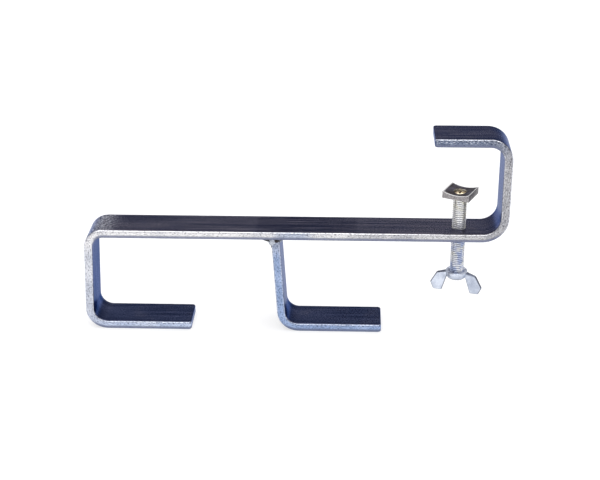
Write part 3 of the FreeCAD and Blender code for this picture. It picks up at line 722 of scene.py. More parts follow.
@dataclass(frozen=True)
class YellowPassivate:
    """Yellow-passivated zinc: a brass colour that drifts to paler and to rose, with painted shade
    in the recess.
    """

    name: str
    warm: Colour = (0.90, 0.72, 0.42)
    pale: Colour = (0.97, 0.92, 0.74)
    rose: Colour = (0.76, 0.52, 0.38)
    # Painted shade for the cross recess.
    sunk: Colour = (0.06, 0.04, 0.03)

    def material(self) -> bpy.types.Material:
        """Builds the material, which reads the mark recess (1 in the cross, painted in shade).

        Returns:
            The finished material.
        """
        paint = Paint(self.name, Metallic=1.0)
        here = paint.place()
        cloud = paint.noise(here, 420.0, 3.0)
        drift = paint.noise(here, 230.0, 2.0)
        fine = paint.noise(here, 2400.0, 3.0)
        colour = paint.mix(paint.span(cloud, 0.38, 0.66), self.warm, self.pale)
        colour = paint.mix(paint.span(drift, 0.50, 0.72, 0.0, 0.7), colour, self.rose)
        # Painted shade in the cross recess.
        colour = paint.mix(paint.mark("recess"), colour, self.sunk)
        rough = paint.spread(fine, 0.20, 0.36)
        return paint.finish(colour, rough, paint.relief(fine, 0.03, 0.5))


# ------------------------------------------------------------------------------ welded frame

@dataclass
class BendLine:
    """Middle line of a bent bar in the upright plane: straight runs joined by tangent arcs.

    Attributes:
        corners: (k, 2) corners as X and Z.
        radii: radius of the arc at each inner corner.
    """

    corners: np.ndarray
    radii: tuple[float, ...]

    def __post_init__(self) -> None:
        """Works out where each arc begins and ends: radius * tan(half its turn) off its corner."""
        legs = np.diff(self.corners, axis=0)
        heading = legs / np.linalg.norm(legs, axis=1, keepdims=True)
        cross = heading[:-1, 0] * heading[1:, 1] - heading[:-1, 1] * heading[1:, 0]
        dot = (heading[:-1] * heading[1:]).sum(axis=1)
        self.turns = np.arctan2(cross, dot)
        radii = np.array(self.radii)
        back = (radii * np.tan(np.abs(self.turns) / 2))[:, None]
        self.entries = self.corners[1:-1] - heading[:-1] * back
        leaves = self.corners[1:-1] + heading[1:] * back
        self.begins = np.concatenate([self.corners[:1], leaves])
        straight = np.linalg.norm(np.concatenate([self.entries, self.corners[-1:]])
                                  - self.begins, axis=1)
        curved = radii * np.abs(self.turns)
        lengths = np.empty(len(straight) + len(curved))
        lengths[0::2], lengths[1::2] = straight, curved
        self.joints = np.concatenate([[0.0], np.cumsum(lengths)])
        self.heading = heading

    def at(self, along: np.ndarray) -> tuple[np.ndarray, np.ndarray, np.ndarray]:
        """Place, heading and signed curvature at distances along the line.

        On a run the place is its start plus heading times distance. On an arc the heading turns
        by distance over radius, and the place moves by the chord of that turn.

        Args:
            along: (n,) distances from the line's start.

        Returns:
            (n, 2) places as X and Z, (n, 2) unit headings, and (n,) curvatures.
        """
        place, heading = np.empty((len(along), 2)), np.empty((len(along), 2))
        curve = np.zeros(len(along))
        part = np.clip(np.searchsorted(self.joints, along, side="right") - 1,
                       0, len(self.joints) - 2)
        for index in range(len(self.joints) - 1):
            here = part == index
            gone = along[here] - self.joints[index]
            before = self.heading[index // 2]
            if index % 2 == 0:
                place[here] = self.begins[index // 2] + before * gone[:, None]
                heading[here] = before
                continue
            radius, turn = self.radii[index // 2], self.turns[index // 2]
            sign = math.copysign(1.0, turn)
            angle = gone / radius
            left = sign * np.array([-before[1], before[0]])
            heading[here] = np.cos(angle)[:, None] * before + np.sin(angle)[:, None] * left
            place[here] = (self.entries[index // 2] + radius * np.sin(angle)[:, None] * before
                           + radius * (1 - np.cos(angle))[:, None] * left)
            curve[here] = sign / radius
        return place, heading, curve


@dataclass
class BarSection:
    """Rounded-rectangle section of the flat bar.

    Every point is written as an inner-rectangle place plus an outward direction, so that a ring
    with half width a, half thickness b and corner radius c is
    y = across * (a - c) + c * out_y and n = up * (b - c) + c * out_n.
    """

    half_width: float = 15.0
    half_thickness: float = 3.0
    edge_round: float = 1.2
    width_cells: int = 28
    thickness_cells: int = 4
    corner_cells: int = 6

    def __post_init__(self) -> None:
        """Lays the points out: top face, corner, narrow face, corner, under face and back."""
        wide = np.linspace(-1, 1, self.width_cells + 1)
        slim = np.linspace(1, -1, self.thickness_cells + 1)
        bow = np.linspace(0, math.pi / 2, self.corner_cells + 1)[1:-1]
        ones, slim_ones, bow_ones = np.ones_like(wide), np.ones_like(slim), np.ones_like(bow)
        half = [
            np.stack([wide, ones, 0 * wide, ones]),
            np.stack([bow_ones, bow_ones, np.sin(bow), np.cos(bow)]),
            np.stack([slim_ones, slim, slim_ones, 0 * slim]),
            np.stack([bow_ones, -bow_ones, np.cos(bow), -np.sin(bow)]),
        ]
        table = np.concatenate(half + [-block for block in half], axis=1)
        self.across, self.up, self.out_y, self.out_n = table
        self.count = table.shape[1]
        self.under_start = self.count // 2

    def ring(self, width: np.ndarray, thick: np.ndarray,
             rounding: np.ndarray) -> tuple[np.ndarray, np.ndarray]:
        """Points of rings, by the formula above.

        Args:
            width: (n,) half widths.
            thick: (n,) half thicknesses.
            rounding: (n,) corner radii.

        Returns:
            Their (n, count) crosswise and upward places.
        """
        crosswise = self.across * (width - rounding)[:, None] + self.out_y * rounding[:, None]
        upward = self.up * (thick - rounding)[:, None] + self.out_n * rounding[:, None]
        return crosswise, upward


@dataclass
class FlatBar:
    """A length of flat bar swept along its bend line, with rounded free ends.

    Attributes:
        line: bend line, starting at a free end.
        section: the bar's section.
        end_round: plan radius of the free ends' corners.
        tones: rows of (distance, deep, blue_painted_light, shade) along the line: the painted
            reflection and shade that the finish reads.
        stretched: number of the bend whose plating shows its stretching, if one does.
        stretch_fade: how far outside and inside that bend the stretching sets in.
        melted: how far a flush end's half width is melted away by its weld.
        melt_reach: distances from the flush end between which the melting grows.
        sawn_end: marks of the cut end faces.
        neck: share by which the outside of a bend narrows.
        full_bend: radius up to which a bend narrows by all of it.
        face_wave: depth of the waves that rolling left in the wide faces.
        edge_waves: depths of the long and of the short waves of the narrow faces.
        flush_top: height at which the last end is cut level, if it is.
        hole_at: X of the tapped hole, if there is one.
        hole_radius: radius of its bore.
        mouth_chamfer: width of the chamfer at both its mouths.
        panel: first and last distance of the blank marking panel, if there is one.
        panel_share: part of the flat width that the panel takes up.
        run_step: spacing of the rings on straight runs.
        bend_step: spacing of the rings in bends.
        hole_cells: cells along each side of the square round the hole.
    """

    line: BendLine
    section: BarSection
    tones: Sequence[tuple[float, float, float, float]]
    end_round: float = 2.5
    stretched: Optional[int] = None
    stretch_fade: tuple[float, float] = (14.0, 6.0)
    melted: float = 0.8
    melt_reach: tuple[float, float] = (5.5, 1.5)
    neck: float = 0.014
    full_bend: float = 15.0
    face_wave: float = 0.04
    edge_waves: tuple[float, float] = (0.07, 0.03)
    sawn_end: Sequence[tuple[str, float]] = (("narrow", 1.0), ("blue_painted_light", 0.2), ("shade", 0.35))
    flush_top: Optional[float] = None
    hole_at: Optional[float] = None
    hole_radius: float = 5.05
    mouth_chamfer: float = 0.7
    panel: Optional[tuple[float, float]] = None
    panel_share: float = 0.96
    run_step: float = 2.2
    bend_step: float = 0.7
    hole_cells: int = 16

    def stations(self) -> np.ndarray:
        """Distances at which rings stand: closer in bends, at the ends and round the hole.

        Returns:
            (n,) distances along the line, in rising order.
        """
        total = self.line.joints[-1]
        curl = self.end_round * (1 - np.cos(np.linspace(0, math.pi / 2, 12)))
        stops = [curl, total - curl if self.flush_top is None else np.array([total])]
        inner = np.clip(self.line.joints, self.end_round, None)
        if self.flush_top is None:
            inner = np.clip(inner, None, total - self.end_round)
        for index, (low, high) in enumerate(zip(inner[:-1], inner[1:])):
            step = self.run_step if index % 2 == 0 else self.bend_step
            stops.append(np.linspace(low, high, max(2, int(math.ceil((high - low) / step)) + 1)))
        places = np.concatenate(stops)
        if self.hole_at is not None:
            middle = self.hole_distance()
            block = self.block_half()
            places = places[np.abs(places - middle) > block + 0.4]
            lines = np.linspace(middle - block, middle + block, self.hole_cells + 1)
            places = np.concatenate([places, lines])
        return np.unique(np.round(places, 5))

    def block_half(self) -> float:
        """Half side of the square round the hole, a whole number of the section's cells."""
        flat = self.section.half_width - self.section.edge_round
        return flat * self.hole_cells / self.section.width_cells

    def hole_distance(self) -> float:
        """Distance along the line at which the hole's axis crosses the level middle run."""
        return self.line.joints[4] + self.hole_at - self.line.begins[2][0]

    def end_shape(self, along: np.ndarray) -> tuple[np.ndarray, np.ndarray, np.ndarray]:
        """Half width, half thickness and corner radius of each ring.

        Within a radius R of a free end the half size loses R - sqrt(R^2 - (R - d)^2), where d is
        the distance to the end: R is the plan radius for the width and the edge's for the rest.
        A flush end's width loses the melted part instead, through a smooth step.

        Args:
            along: (n,) distances of the rings.

        Returns:
            Three (n,) arrays.
        """
        gap = along.copy()
        if self.flush_top is None:
            gap = np.minimum(along, self.line.joints[-1] - along)

        def loss(radius: float) -> np.ndarray:
            """How far a round of that radius draws the outline in."""
            short = np.clip(radius - gap, 0, radius)
            return radius - np.sqrt(np.clip(radius ** 2 - short ** 2, 0, None))

        edge = self.section.edge_round
        width = self.section.half_width - loss(self.end_round)
        thick = self.section.half_thickness - loss(edge) * 0.8
        rounding = np.clip(edge - loss(edge), 0.2, edge)
        if self.flush_top is not None:
            end = self.line.joints[-1]
            first, last = self.melt_reach
            width = width - self.melted * smooth(along, end - first, end - last)
        return width, thick, rounding

    def shell(self) -> Shell:
        """Sweeps the section: place + normal * n in the upright plane, and y across it.

        The outside of a bend narrows by its neck, and sines of unrelated lengths wave the faces.

        Returns:
            The closed bar, with its hole if it has one.
        """
        along = self.stations()
        place, heading, curve = self.line.at(along)
        normal = np.stack([-heading[:, 1], heading[:, 0]], axis=1)
        width, thick, rounding = self.end_shape(along)
        crosswise, upward = self.section.ring(width, thick, rounding)
        bent = np.clip(np.abs(curve) * self.full_bend, 0, 1)
        soft = np.convolve(np.pad(bent, 2, mode="edge"), np.ones(5) / 5, mode="valid")
        outer = np.clip(-upward / self.section.half_thickness * np.sign(curve)[:, None], 0, 1)
        crosswise = crosswise * (1 - self.neck * soft[:, None] * outer)
        wave = ripple(along[:, None] * 0.083, crosswise * 0.21) * self.face_wave
        upward = upward * (1 - np.abs(wave) * np.abs(self.section.out_n)
                           / self.section.half_thickness)
        edge_wave = sum(np.abs(ripple(along * rate)) * depth
                        for rate, depth in zip((0.31, 1.27), self.edge_waves))
        crosswise = crosswise * (1 - edge_wave[:, None] / self.section.half_width)
        rings = np.stack([place[:, :1] + normal[:, :1] * upward, crosswise,
                          place[:, 1:] + normal[:, 1:] * upward], axis=-1)
        if self.flush_top is not None:
            rings[-1, :, 0] += (self.flush_top - rings[-1, :, 2]) * heading[-1, 0] / heading[-1, 1]
            rings[-1, :, 2] = self.flush_top
        rings, stretch = self.with_end_rings(rings, place, heading)
        marks = self.marks(along, normal, upward)
        marks = {name: np.concatenate([grid[:1], grid, grid[-1:]]) for name, grid in marks.items()}
        for name, value in self.sawn_end:
            marks[name][[0, -1]] = value
        shell = capped(rings, stretch[0], stretch[1], marks)
        shell.run, shell.girth = self.run(along, len(shell.points))
        if self.hole_at is not None:
            self.bore(shell, along)
        return shell.outward()

    def with_end_rings(self, rings: np.ndarray, place: np.ndarray,
                       heading: np.ndarray) -> tuple[np.ndarray, list[np.ndarray]]:
        """Adds a ring just inside each end face, so that its rim is crisp.

        Args:
            rings: (n, m, 3) points of the swept rings.
            place: (n, 2) places of the line as X and Z.
            heading: (n, 2) unit headings of the line.

        Returns:
            The (n + 2, m, 3) points and the two faces' middle points.
        """
        ends, poles = [], []
        for index, height in ((0, None), (-1, self.flush_top)):
            middle = np.array([place[index, 0], 0.0, place[index, 1]])
            if height is not None:
                middle[0] += (height - middle[2]) * heading[index, 0] / heading[index, 1]
                middle[2] = height
            ends.append(middle + (rings[index] - middle) * np.array([0.9, 0.97, 0.9]))
            poles.append(middle)
        return np.concatenate([ends[0][None], rings, ends[1][None]]), poles

    def marks(self, along: np.ndarray, normal: np.ndarray,
              upward: np.ndarray) -> dict[str, np.ndarray]:
        """Values that the finish reads, which its own description names.

        Args:
            along: (n,) distances of the rings.
            normal: (n, 2) upward directions of the rings, as X and Z.
            upward: (n, m) upward places of the points.

        Returns:
            Name to (n, m) value.
        """
        section = self.section
        flat = np.ones((len(along), 1))
        # low: 1 at the lower edge of level runs, which the finish paints in shade.
        low = -upward / section.half_thickness * normal[:, 1:] ** 3
        # Tones along the line: painted blue reflection on wide and narrow faces, and painted shade.
        rows = np.array(self.tones).T
        deep, blue_painted_light, shade = (np.interp(along, rows[0], row)[:, None] for row in rows[1:])
        pulled = np.zeros_like(along)
        if self.stretched is not None:
            first, last = self.line.joints[2 * self.stretched + 1:2 * self.stretched + 3]
            far, near = self.stretch_fade
            pulled = smooth(along, first - far, first + near) * (
                1 - smooth(along, last - near, last + far))
        panel = np.zeros((len(along), section.count))
        if self.panel is not None:
            inside = smooth(along, self.panel[0], self.panel[0] + 1.0) * (
                1 - smooth(along, self.panel[1] - 1.0, self.panel[1]))
            panel = inside[:, None] * ((section.up == 1) & (section.out_n == 1)
                                       & (np.abs(section.across) < self.panel_share))
        return {
            "narrow": flat * np.abs(section.out_y),
            "rim": flat * (2 * np.abs(section.out_y * section.out_n)) ** 2,
            "deep": deep * np.ones(section.count),
            "blue_painted_light": blue_painted_light * np.ones(section.count),
            "shade": shade * np.ones(section.count),
            "low": np.clip(low, 0, 1),
            "bend": pulled[:, None] * smooth(section.up, 0.4, 0.9) * np.abs(section.out_n),
            "panel": panel,
        }

    def run(self, along: np.ndarray, count: int) -> tuple[np.ndarray, float]:
        """Distance along the line and round the section for every point.

        Args:
            along: (n,) distances of the rings.
            count: number of the shell's points, both end rings and poles among them.

        Returns:
            (count, 2) distances, and the length of the whole loop round the section.
        """
        width = np.array([self.section.half_width])
        thick = np.array([self.section.half_thickness])
        y, n = self.section.ring(width, thick, np.array([self.section.edge_round]))
        steps = np.hypot(np.diff(y[0], append=y[0, :1]), np.diff(n[0], append=n[0, :1]))
        around = np.concatenate([[0.0], np.cumsum(steps)[:-1]])
        beyond = 2.0  # the end faces carry the pattern on a little way
        length = np.concatenate([along[:1] - beyond, along, along[-1:] + beyond])
        grid = np.stack(np.broadcast_arrays(length[:, None], around[None, :]), axis=-1)
        poles = np.array([[length[0], 0.0], [length[-1], 0.0]])
        run = np.concatenate([grid.reshape(-1, 2), poles])
        return run[:count], float(steps.sum())

    def bore(self, shell: Shell, along: np.ndarray) -> None:
        """Opens the tapped hole: a square block of cells gives way to rings down to a bore.

        The square's border is joined to the chamfer's circle at the same angles, then to the
        bore's, and the same again on the under face.

        Args:
            shell: the closed bar, which is changed.
            along: (n,) distances of its rings.
        """
        around, cells = self.section.count, self.hole_cells
        middle = self.hole_distance()
        first = int(np.argmin(np.abs(along - (middle - self.block_half())))) + 1
        left = (self.section.width_cells - cells) // 2
        quads = shell.faces[0]
        ring, spot = (quads // around).min(axis=1), (quads % around).min(axis=1)
        mirrored = self.section.under_start + left
        in_ring = (ring >= first) & (ring < first + cells)
        in_top = (spot >= left) & (spot < left + cells)
        in_under = (spot >= mirrored) & (spot < mirrored + cells)
        shell.faces[0] = quads[~(in_ring & (in_top | in_under))]
        step = np.arange(cells)
        rows = np.concatenate([0 * step, step, 0 * step + cells, cells - step]) + first
        columns = np.concatenate([step, 0 * step + cells, cells - step, 0 * step]) + left
        top = rows * around + columns
        under = rows * around + self.section.under_start + self.section.width_cells - columns
        flat = shell.points[top]
        angle = np.arctan2(flat[:, 1], flat[:, 0] - self.hole_at)
        high, low = shell.points[top][:, 2].mean(), shell.points[under][:, 2].mean()
        wide = self.hole_radius + self.mouth_chamfer
        profile = ((wide, high), (self.hole_radius, high - self.mouth_chamfer),
                   (self.hole_radius, low + self.mouth_chamfer), (wide, low))
        circles = np.stack([np.stack([
            self.hole_at + radius * np.cos(angle), radius * np.sin(angle),
            np.full_like(angle, height)], axis=-1) for radius, height in profile])
        start = len(shell.points)
        count = len(top)
        shell.points = np.concatenate([shell.points, circles.reshape(-1, 3)])
        loops = np.concatenate([top[None], start + np.arange(4 * count).reshape(4, count),
                                under[None]])
        nxt = np.roll(loops, -1, axis=1)
        walls = np.stack([loops[:-1], nxt[:-1], nxt[1:], loops[1:]], axis=-1).reshape(-1, 4)
        shell.faces.append(walls[:, ::-1] if self.walls_inward(shell, walls) else walls)
        copies = np.tile(top, 4)
        shell.marks = {name: np.concatenate([grid, grid[copies]])
                       for name, grid in shell.marks.items()}
        shell.run = np.concatenate([shell.run, shell.run[copies]])

    @staticmethod
    def walls_inward(shell: Shell, walls: np.ndarray) -> bool:
        """Whether the hole's walls run the same way round as the faces that they border.

        Args:
            shell: the bar with its two openings.
            walls: (n, 4) corners of the walls, five loops of them from the top down.

        Returns:
            True if a side of the top loop runs the same way in the bar's faces.
        """
        loops = 5
        border = {tuple(pair) for pair in walls[:len(walls) // loops, :2].tolist()}
        quads = shell.faces[0]
        sides = np.concatenate([quads[:, [k, (k + 1) % 4]] for k in range(4)])
        return any(tuple(pair) in border for pair in sides.tolist())


@dataclass
class FilletWeld:
    """Concave fillet weld between the bar's underside and one face of the centre hook.

    Attributes:
        side: the hook's face that it runs along.
        leg: length of both legs.
        corner: X and Z of the corner that it fills.
        lean: angle of the hook's face off the upright, in radians.
        half_length: half its length along Y.
        pitch: spacing of the ripples along the weld.
        relief: height of the ripples.
        unrest: height of the slower waver of its face.
        sunk: how far it reaches into the bar and the hook.
        hollow: radius of its face, in legs.
        end_round: length over which each end closes, in legs.
        heart: point that the ends close towards, as a share of the two toes' places.
        arc_cells: cells across its face.
        stations: number of rings along it.
    """

    side: Side
    leg: float
    corner: tuple[float, float]
    lean: float
    half_length: float = 14.6
    pitch: float = 1.7
    relief: float = 0.22
    unrest: float = 0.28
    sunk: float = 0.5
    hollow: float = 1.2
    end_round: float = 0.45
    heart: float = 0.16
    arc_cells: int = 22
    stations: int = 150

    def shell(self) -> Shell:
        """Carries the weld's section along Y.

        The outline is a hollow arc from the bar to the hook and two sunk legs. The arc swells by
        a rippled height, whose crests bow along the weld, and the section closes at both ends as
        the square root of 1 - t squared.

        Returns:
            The closed weld, with the mark toe.
        """
        out = self.side.value
        on_bar = np.array([out * self.leg, 0.0])
        on_hook = np.array([math.sin(self.lean), -math.cos(self.lean)]) * self.leg
        chord = on_hook - on_bar
        half = np.linalg.norm(chord) / 2
        away = (on_bar + on_hook) / np.linalg.norm(on_bar + on_hook)
        radius = self.hollow * self.leg
        centre = (on_bar + on_hook) / 2 + away * math.sqrt(radius ** 2 - half ** 2)
        opening = math.asin(half / radius)
        share = np.linspace(-1, 1, self.arc_cells + 1)
        tangent = chord / (2 * half)
        arc = (centre - away * radius * np.cos(opening * share)[:, None]
               + tangent * radius * np.sin(opening * share)[:, None])
        facing = (centre - arc) / radius
        inner = np.array([[on_hook[0] - out * self.sunk, on_hook[1] + self.sunk],
                          [-out * self.sunk, self.sunk],
                          [on_bar[0] - out * self.sunk, self.sunk]])
        length = np.linspace(-self.half_length, self.half_length, self.stations)
        slope = length[:, None] / self.pitch + 0.9 * share ** 2
        swell = self.relief * (np.abs(np.sin(math.pi * slope)) ** 0.7 - 0.4)
        swell = swell + self.unrest * ripple(length[:, None] * 0.43, share * 1.3)
        swell = swell * np.clip(1 - share ** 2, 0, 1)
        skin = arc[None] + facing[None] * swell[..., None]
        outline = np.concatenate([skin, np.broadcast_to(inner, (len(length), 3, 2))], axis=1)
        closing = self.leg * self.end_round
        past = np.clip((np.abs(length) - (self.half_length - closing)) / closing, 0, 0.999)
        scale = np.sqrt(1 - past ** 2)[:, None, None]
        heart = (on_bar + on_hook) * self.heart
        outline = heart + (outline - heart) * scale
        rings = np.stack([outline[..., 0] + self.corner[0],
                          np.broadcast_to(length[:, None], outline.shape[:2]),
                          outline[..., 1] + self.corner[1]], axis=-1)
        toe = np.concatenate([0.2 * smooth(np.abs(share), 0.85, 1.0), np.ones(3)])
        marks = {"toe": np.broadcast_to(toe, outline.shape[:2])}
        poles = [np.array([heart[0] + self.corner[0], sign * self.half_length,
                           heart[1] + self.corner[1]]) for sign in (-1, 1)]
        return capped(rings, poles[0], poles[1], marks)


@dataclass(frozen=True)
class Lump:
    """Irregular blob of weld metal.

    Attributes:
        offset: its middle, with X and Z counted from a weld's corner.
        radii: half sizes along X, Y and Z.
        unrest: share of the radius by which the surface wavers.
        toe: how scorched it is, from 0 to 1.
        bands: rings from its lower tip to its upper one.
        around: points per ring.
    """

    offset: tuple[float, float, float]
    radii: tuple[float, float, float]
    unrest: float
    toe: float
    bands: int = 24
    around: int = 40

    def shell(self, corner: tuple[float, float]) -> Shell:
        """Ellipsoid (cos b cos a, cos b sin a, sin b), scaled by one plus a smooth ripple.

        Args:
            corner: X and Z of the weld's corner.

        Returns:
            The closed blob, with the mark toe.
        """
        centre = np.array([corner[0] + self.offset[0], self.offset[1],
                           corner[1] + self.offset[2]])
        tilt = np.linspace(-math.pi / 2, math.pi / 2, self.bands + 2)[1:-1, None]
        angle = np.arange(self.around)[None] * TURN / self.around
        waver = 1 + self.unrest * ripple(2 * np.cos(angle) * np.cos(tilt),
                                         1.7 * np.sin(tilt) + tilt)
        unit = np.stack(np.broadcast_arrays(np.cos(tilt) * np.cos(angle),
                                            np.cos(tilt) * np.sin(angle), np.sin(tilt)), axis=-1)
        rings = centre + unit * waver[..., None] * np.array(self.radii)
        tips = [centre + axis_point(sign * self.radii[2] * waver[row].mean())
                for sign, row in ((-1, 0), (1, -1))]
        return capped(rings, tips[0], tips[1], {"toe": np.full(rings.shape[:2], self.toe)})


@dataclass
class WeldedFrame:
    """Main bar, centre hook and the two welds that join them.

    Attributes:
        arm_end: distance of the outer arm's free end to the left of X = 0.
        jaw_end: X of the jaw's free end.
        rail_top: height of the main bar's top face.
        outer_lean: lean of the left upright, in degrees.
        foot_bend: inside radius of the bend under the left upright.
        shoulder_bend: inside radius of the bend over it.
        clamp_bend: inside radius of the bend at the clamp's foot.
        jaw_bend: inside radius of the bend under the jaw.
        panel: ends of the blank marking panel, as X.
        hook_lean: lean of the centre hook's upright, in degrees.
        hook_bend: inside radius of the centre hook's bend.
        hook_face: distance of the hook's left face to the left of X = 0, under the bar.
        hook_gap: how far the middle line of its cut end stays under the bar.
        large_leg: leg of the weld on the hook's left.
        small_leg: leg of the one on its right.
        wash: weld metal run over the left weld's front corner.
        pore: scorched pit beside the right weld's front end.
        back: weld metal at the left weld's far end.
        blob: weld metal at the right weld's front end.
        section: section of both bars.
    """

    arm_end: float = 75.7
    jaw_end: float = 99.0
    rail_top: float = 80.0
    outer_lean: float = 2.7
    foot_bend: float = 9.5
    shoulder_bend: float = 8.0
    clamp_bend: float = 12.5
    jaw_bend: float = 10.0
    panel: tuple[float, float] = (-26.0, 47.0)
    hook_lean: float = 3.4
    hook_bend: float = 9.5
    hook_face: float = 15.3
    hook_gap: float = 0.6
    large_leg: float = 8.0
    small_leg: float = 3.5
    wash: Lump = Lump((0.7, -13.75, -1.9), (2.5, 0.95, 3.0), 0.16, 0.0)
    pore: Lump = Lump((-2.2, -13.8, -1.0), (2.2, 0.75, 1.4), 0.20, 1.0)
    back: Lump = Lump((2.8, 13.5, 0.1), (3.2, 1.3, 1.4), 0.18, 0.2)
    blob: Lump = Lump((0.4, -12.6, -0.7), (1.3, 1.1, 1.2), 0.20, 0.2)
    section: BarSection = field(default_factory=BarSection)

    def __post_init__(self) -> None:
        """Reads the outside limits from the CAD nodes."""
        low, high = extent("main_bar")
        self.left, self.right, self.top = low[0], high[0], high[2]
        self.hook_end = extent("centre_hook")[1][0]
        self.screw_x = float(axis_of("clamp_screw")[0])
        self.underside = self.rail_top - 2 * self.section.half_thickness

    def main_line(self) -> BendLine:
        """Bend line of the main bar, from the outer arm's free end to the jaw's.

        Returns:
            The line, with its four bends.
        """
        half = self.section.half_thickness
        lean = math.radians(self.outer_lean)
        radius = self.foot_bend + half
        centre = self.left + self.foot_bend + 2 * half

        def upright(height: float) -> tuple[float, float]:
            """Point of the leaning upright's line at a height."""
            rise = height - (self.foot_bend + 2 * half) - radius * math.sin(lean)
            return centre - radius * math.cos(lean) + rise * math.tan(lean), height

        right = self.right - half
        corners = np.array([
            (-self.arm_end, half), upright(half), upright(self.rail_top - half),
            (right, self.rail_top - half), (right, self.top - half),
            (self.jaw_end, self.top - half),
        ])
        bends = (self.foot_bend, self.shoulder_bend, self.clamp_bend, self.jaw_bend)
        return BendLine(corners, tuple(bend + half for bend in bends))

    def hook_line(self) -> BendLine:
        """Bend line of the centre hook, from its arm's free end to the bar's underside.

        Returns:
            The line, with its one bend.
        """
        half = self.section.half_thickness
        lean = math.radians(self.hook_lean)
        top = half / math.cos(lean) - self.hook_face

        def upright(height: float) -> tuple[float, float]:
            """Point of the hook's leaning line at a height."""
            return top + (self.underside - height) * math.tan(lean), height

        corners = np.array([
            (self.hook_end, half), upright(half), upright(self.underside - self.hook_gap)])
        return BendLine(corners, (self.hook_bend + half,))

    def build_main_bar(self, finish: bpy.types.Material) -> None:
        """The bar bent four times, with its tapped hole.

        Its tones are painted reflection and shade: blue on the outer arm, clear on the rail, which
        turns bluer and dimmer where the hook is welded under it, dim on the clamp and blue again at
        the jaw.

        Args:
            finish: the plated bar's material.
        """
        line = self.main_line()
        _, foot, foot_end, shoulder, rail, clamp, post, jaw_bend, jaw, end = line.joints
        middle = rail - line.begins[2][0]  # distance along the line at X = 0
        # Painted reflection and shade along the bar: distance, wide-face blue, narrow-face blue,
        # shade.
        tones = [
            (0.0, 1.0, 0.62, 0.00), (foot, 1.0, 0.60, 0.00), (foot_end, 0.95, 0.35, 0.28),
            (shoulder - 8, 0.6, 0.20, 0.20), (shoulder, 0.1, 0.05, 0.06),
            (rail, 0.0, 0.0, 0.04), (middle - 16, 0.0, 0.0, 0.12),
            (middle - 5, 0.0, 0.55, 0.42), (middle + 7, 0.0, 0.45, 0.30),
            (middle + 16, 0.0, 0.0, 0.12), (middle + 60, 0.0, 0.0, 0.42),
            (clamp - 20, 0.0, 0.05, 0.48), (post, 0.30, 0.05, 0.78),
            (jaw_bend, 0.30, 0.05, 0.80), (jaw, 0.10, 0.75, 0.86), (end, 0.15, 0.85, 0.90)]
        panel = (middle + self.panel[0], middle + self.panel[1])
        bar = FlatBar(line, self.section, tones, hole_at=self.screw_x, stretched=1, panel=panel)
        add_piece("main_bar_rolled", [bar.shell()], Body.FRAME, "main_bar", finish)

    def build_centre_hook(self, finish: bpy.types.Material) -> None:
        """The bar bent once and cut flush under the main bar; its painted blue reflection thins and
        its painted shade deepens at the weld.

        Args:
            finish: the plated bar's material.
        """
        line = self.hook_line()
        _, _, bend_end, weld = line.joints
        # Painted reflection and shade along the hook, in the same columns.
        tones = [(0.0, 0.95, 1.0, 0.24), (bend_end, 0.95, 1.0, 0.24),
                 (weld - 12, 0.95, 0.95, 0.36), (weld, 0.9, 0.5, 0.55)]
        hook = FlatBar(line, self.section, tones, flush_top=self.underside)
        add_piece("centre_hook_rolled", [hook.shell()], Body.FRAME, "centre_hook",
                  finish)

    def build_welds(self, finish: bpy.types.Material) -> None:
        """The large weld on the hook's left, washed round its front corner, and the small one.

        Args:
            finish: the weld metal's material.
        """
        lean = math.radians(self.hook_lean)
        left = (-self.hook_face, self.underside)
        right = (2 * self.section.half_thickness / math.cos(lean) - self.hook_face,
                 self.underside)
        large = FilletWeld(Side.LEFT, self.large_leg, left, lean)
        small = FilletWeld(Side.RIGHT, self.small_leg, right, lean,
                           half_length=13.2, pitch=1.3, relief=0.14)
        shells = [large.shell(), self.wash.shell(left), self.pore.shell(right),
                  self.back.shell(left)]
        add_piece("weld_left_rippled", shells, Body.FRAME, "weld_bead_left",
                  finish)
        add_piece("weld_right_rippled", [small.shell(), self.blob.shell(right)], Body.FRAME,
                  "weld_bead_right", finish)


# ------------------------------------------------------------------------------ clamp screw

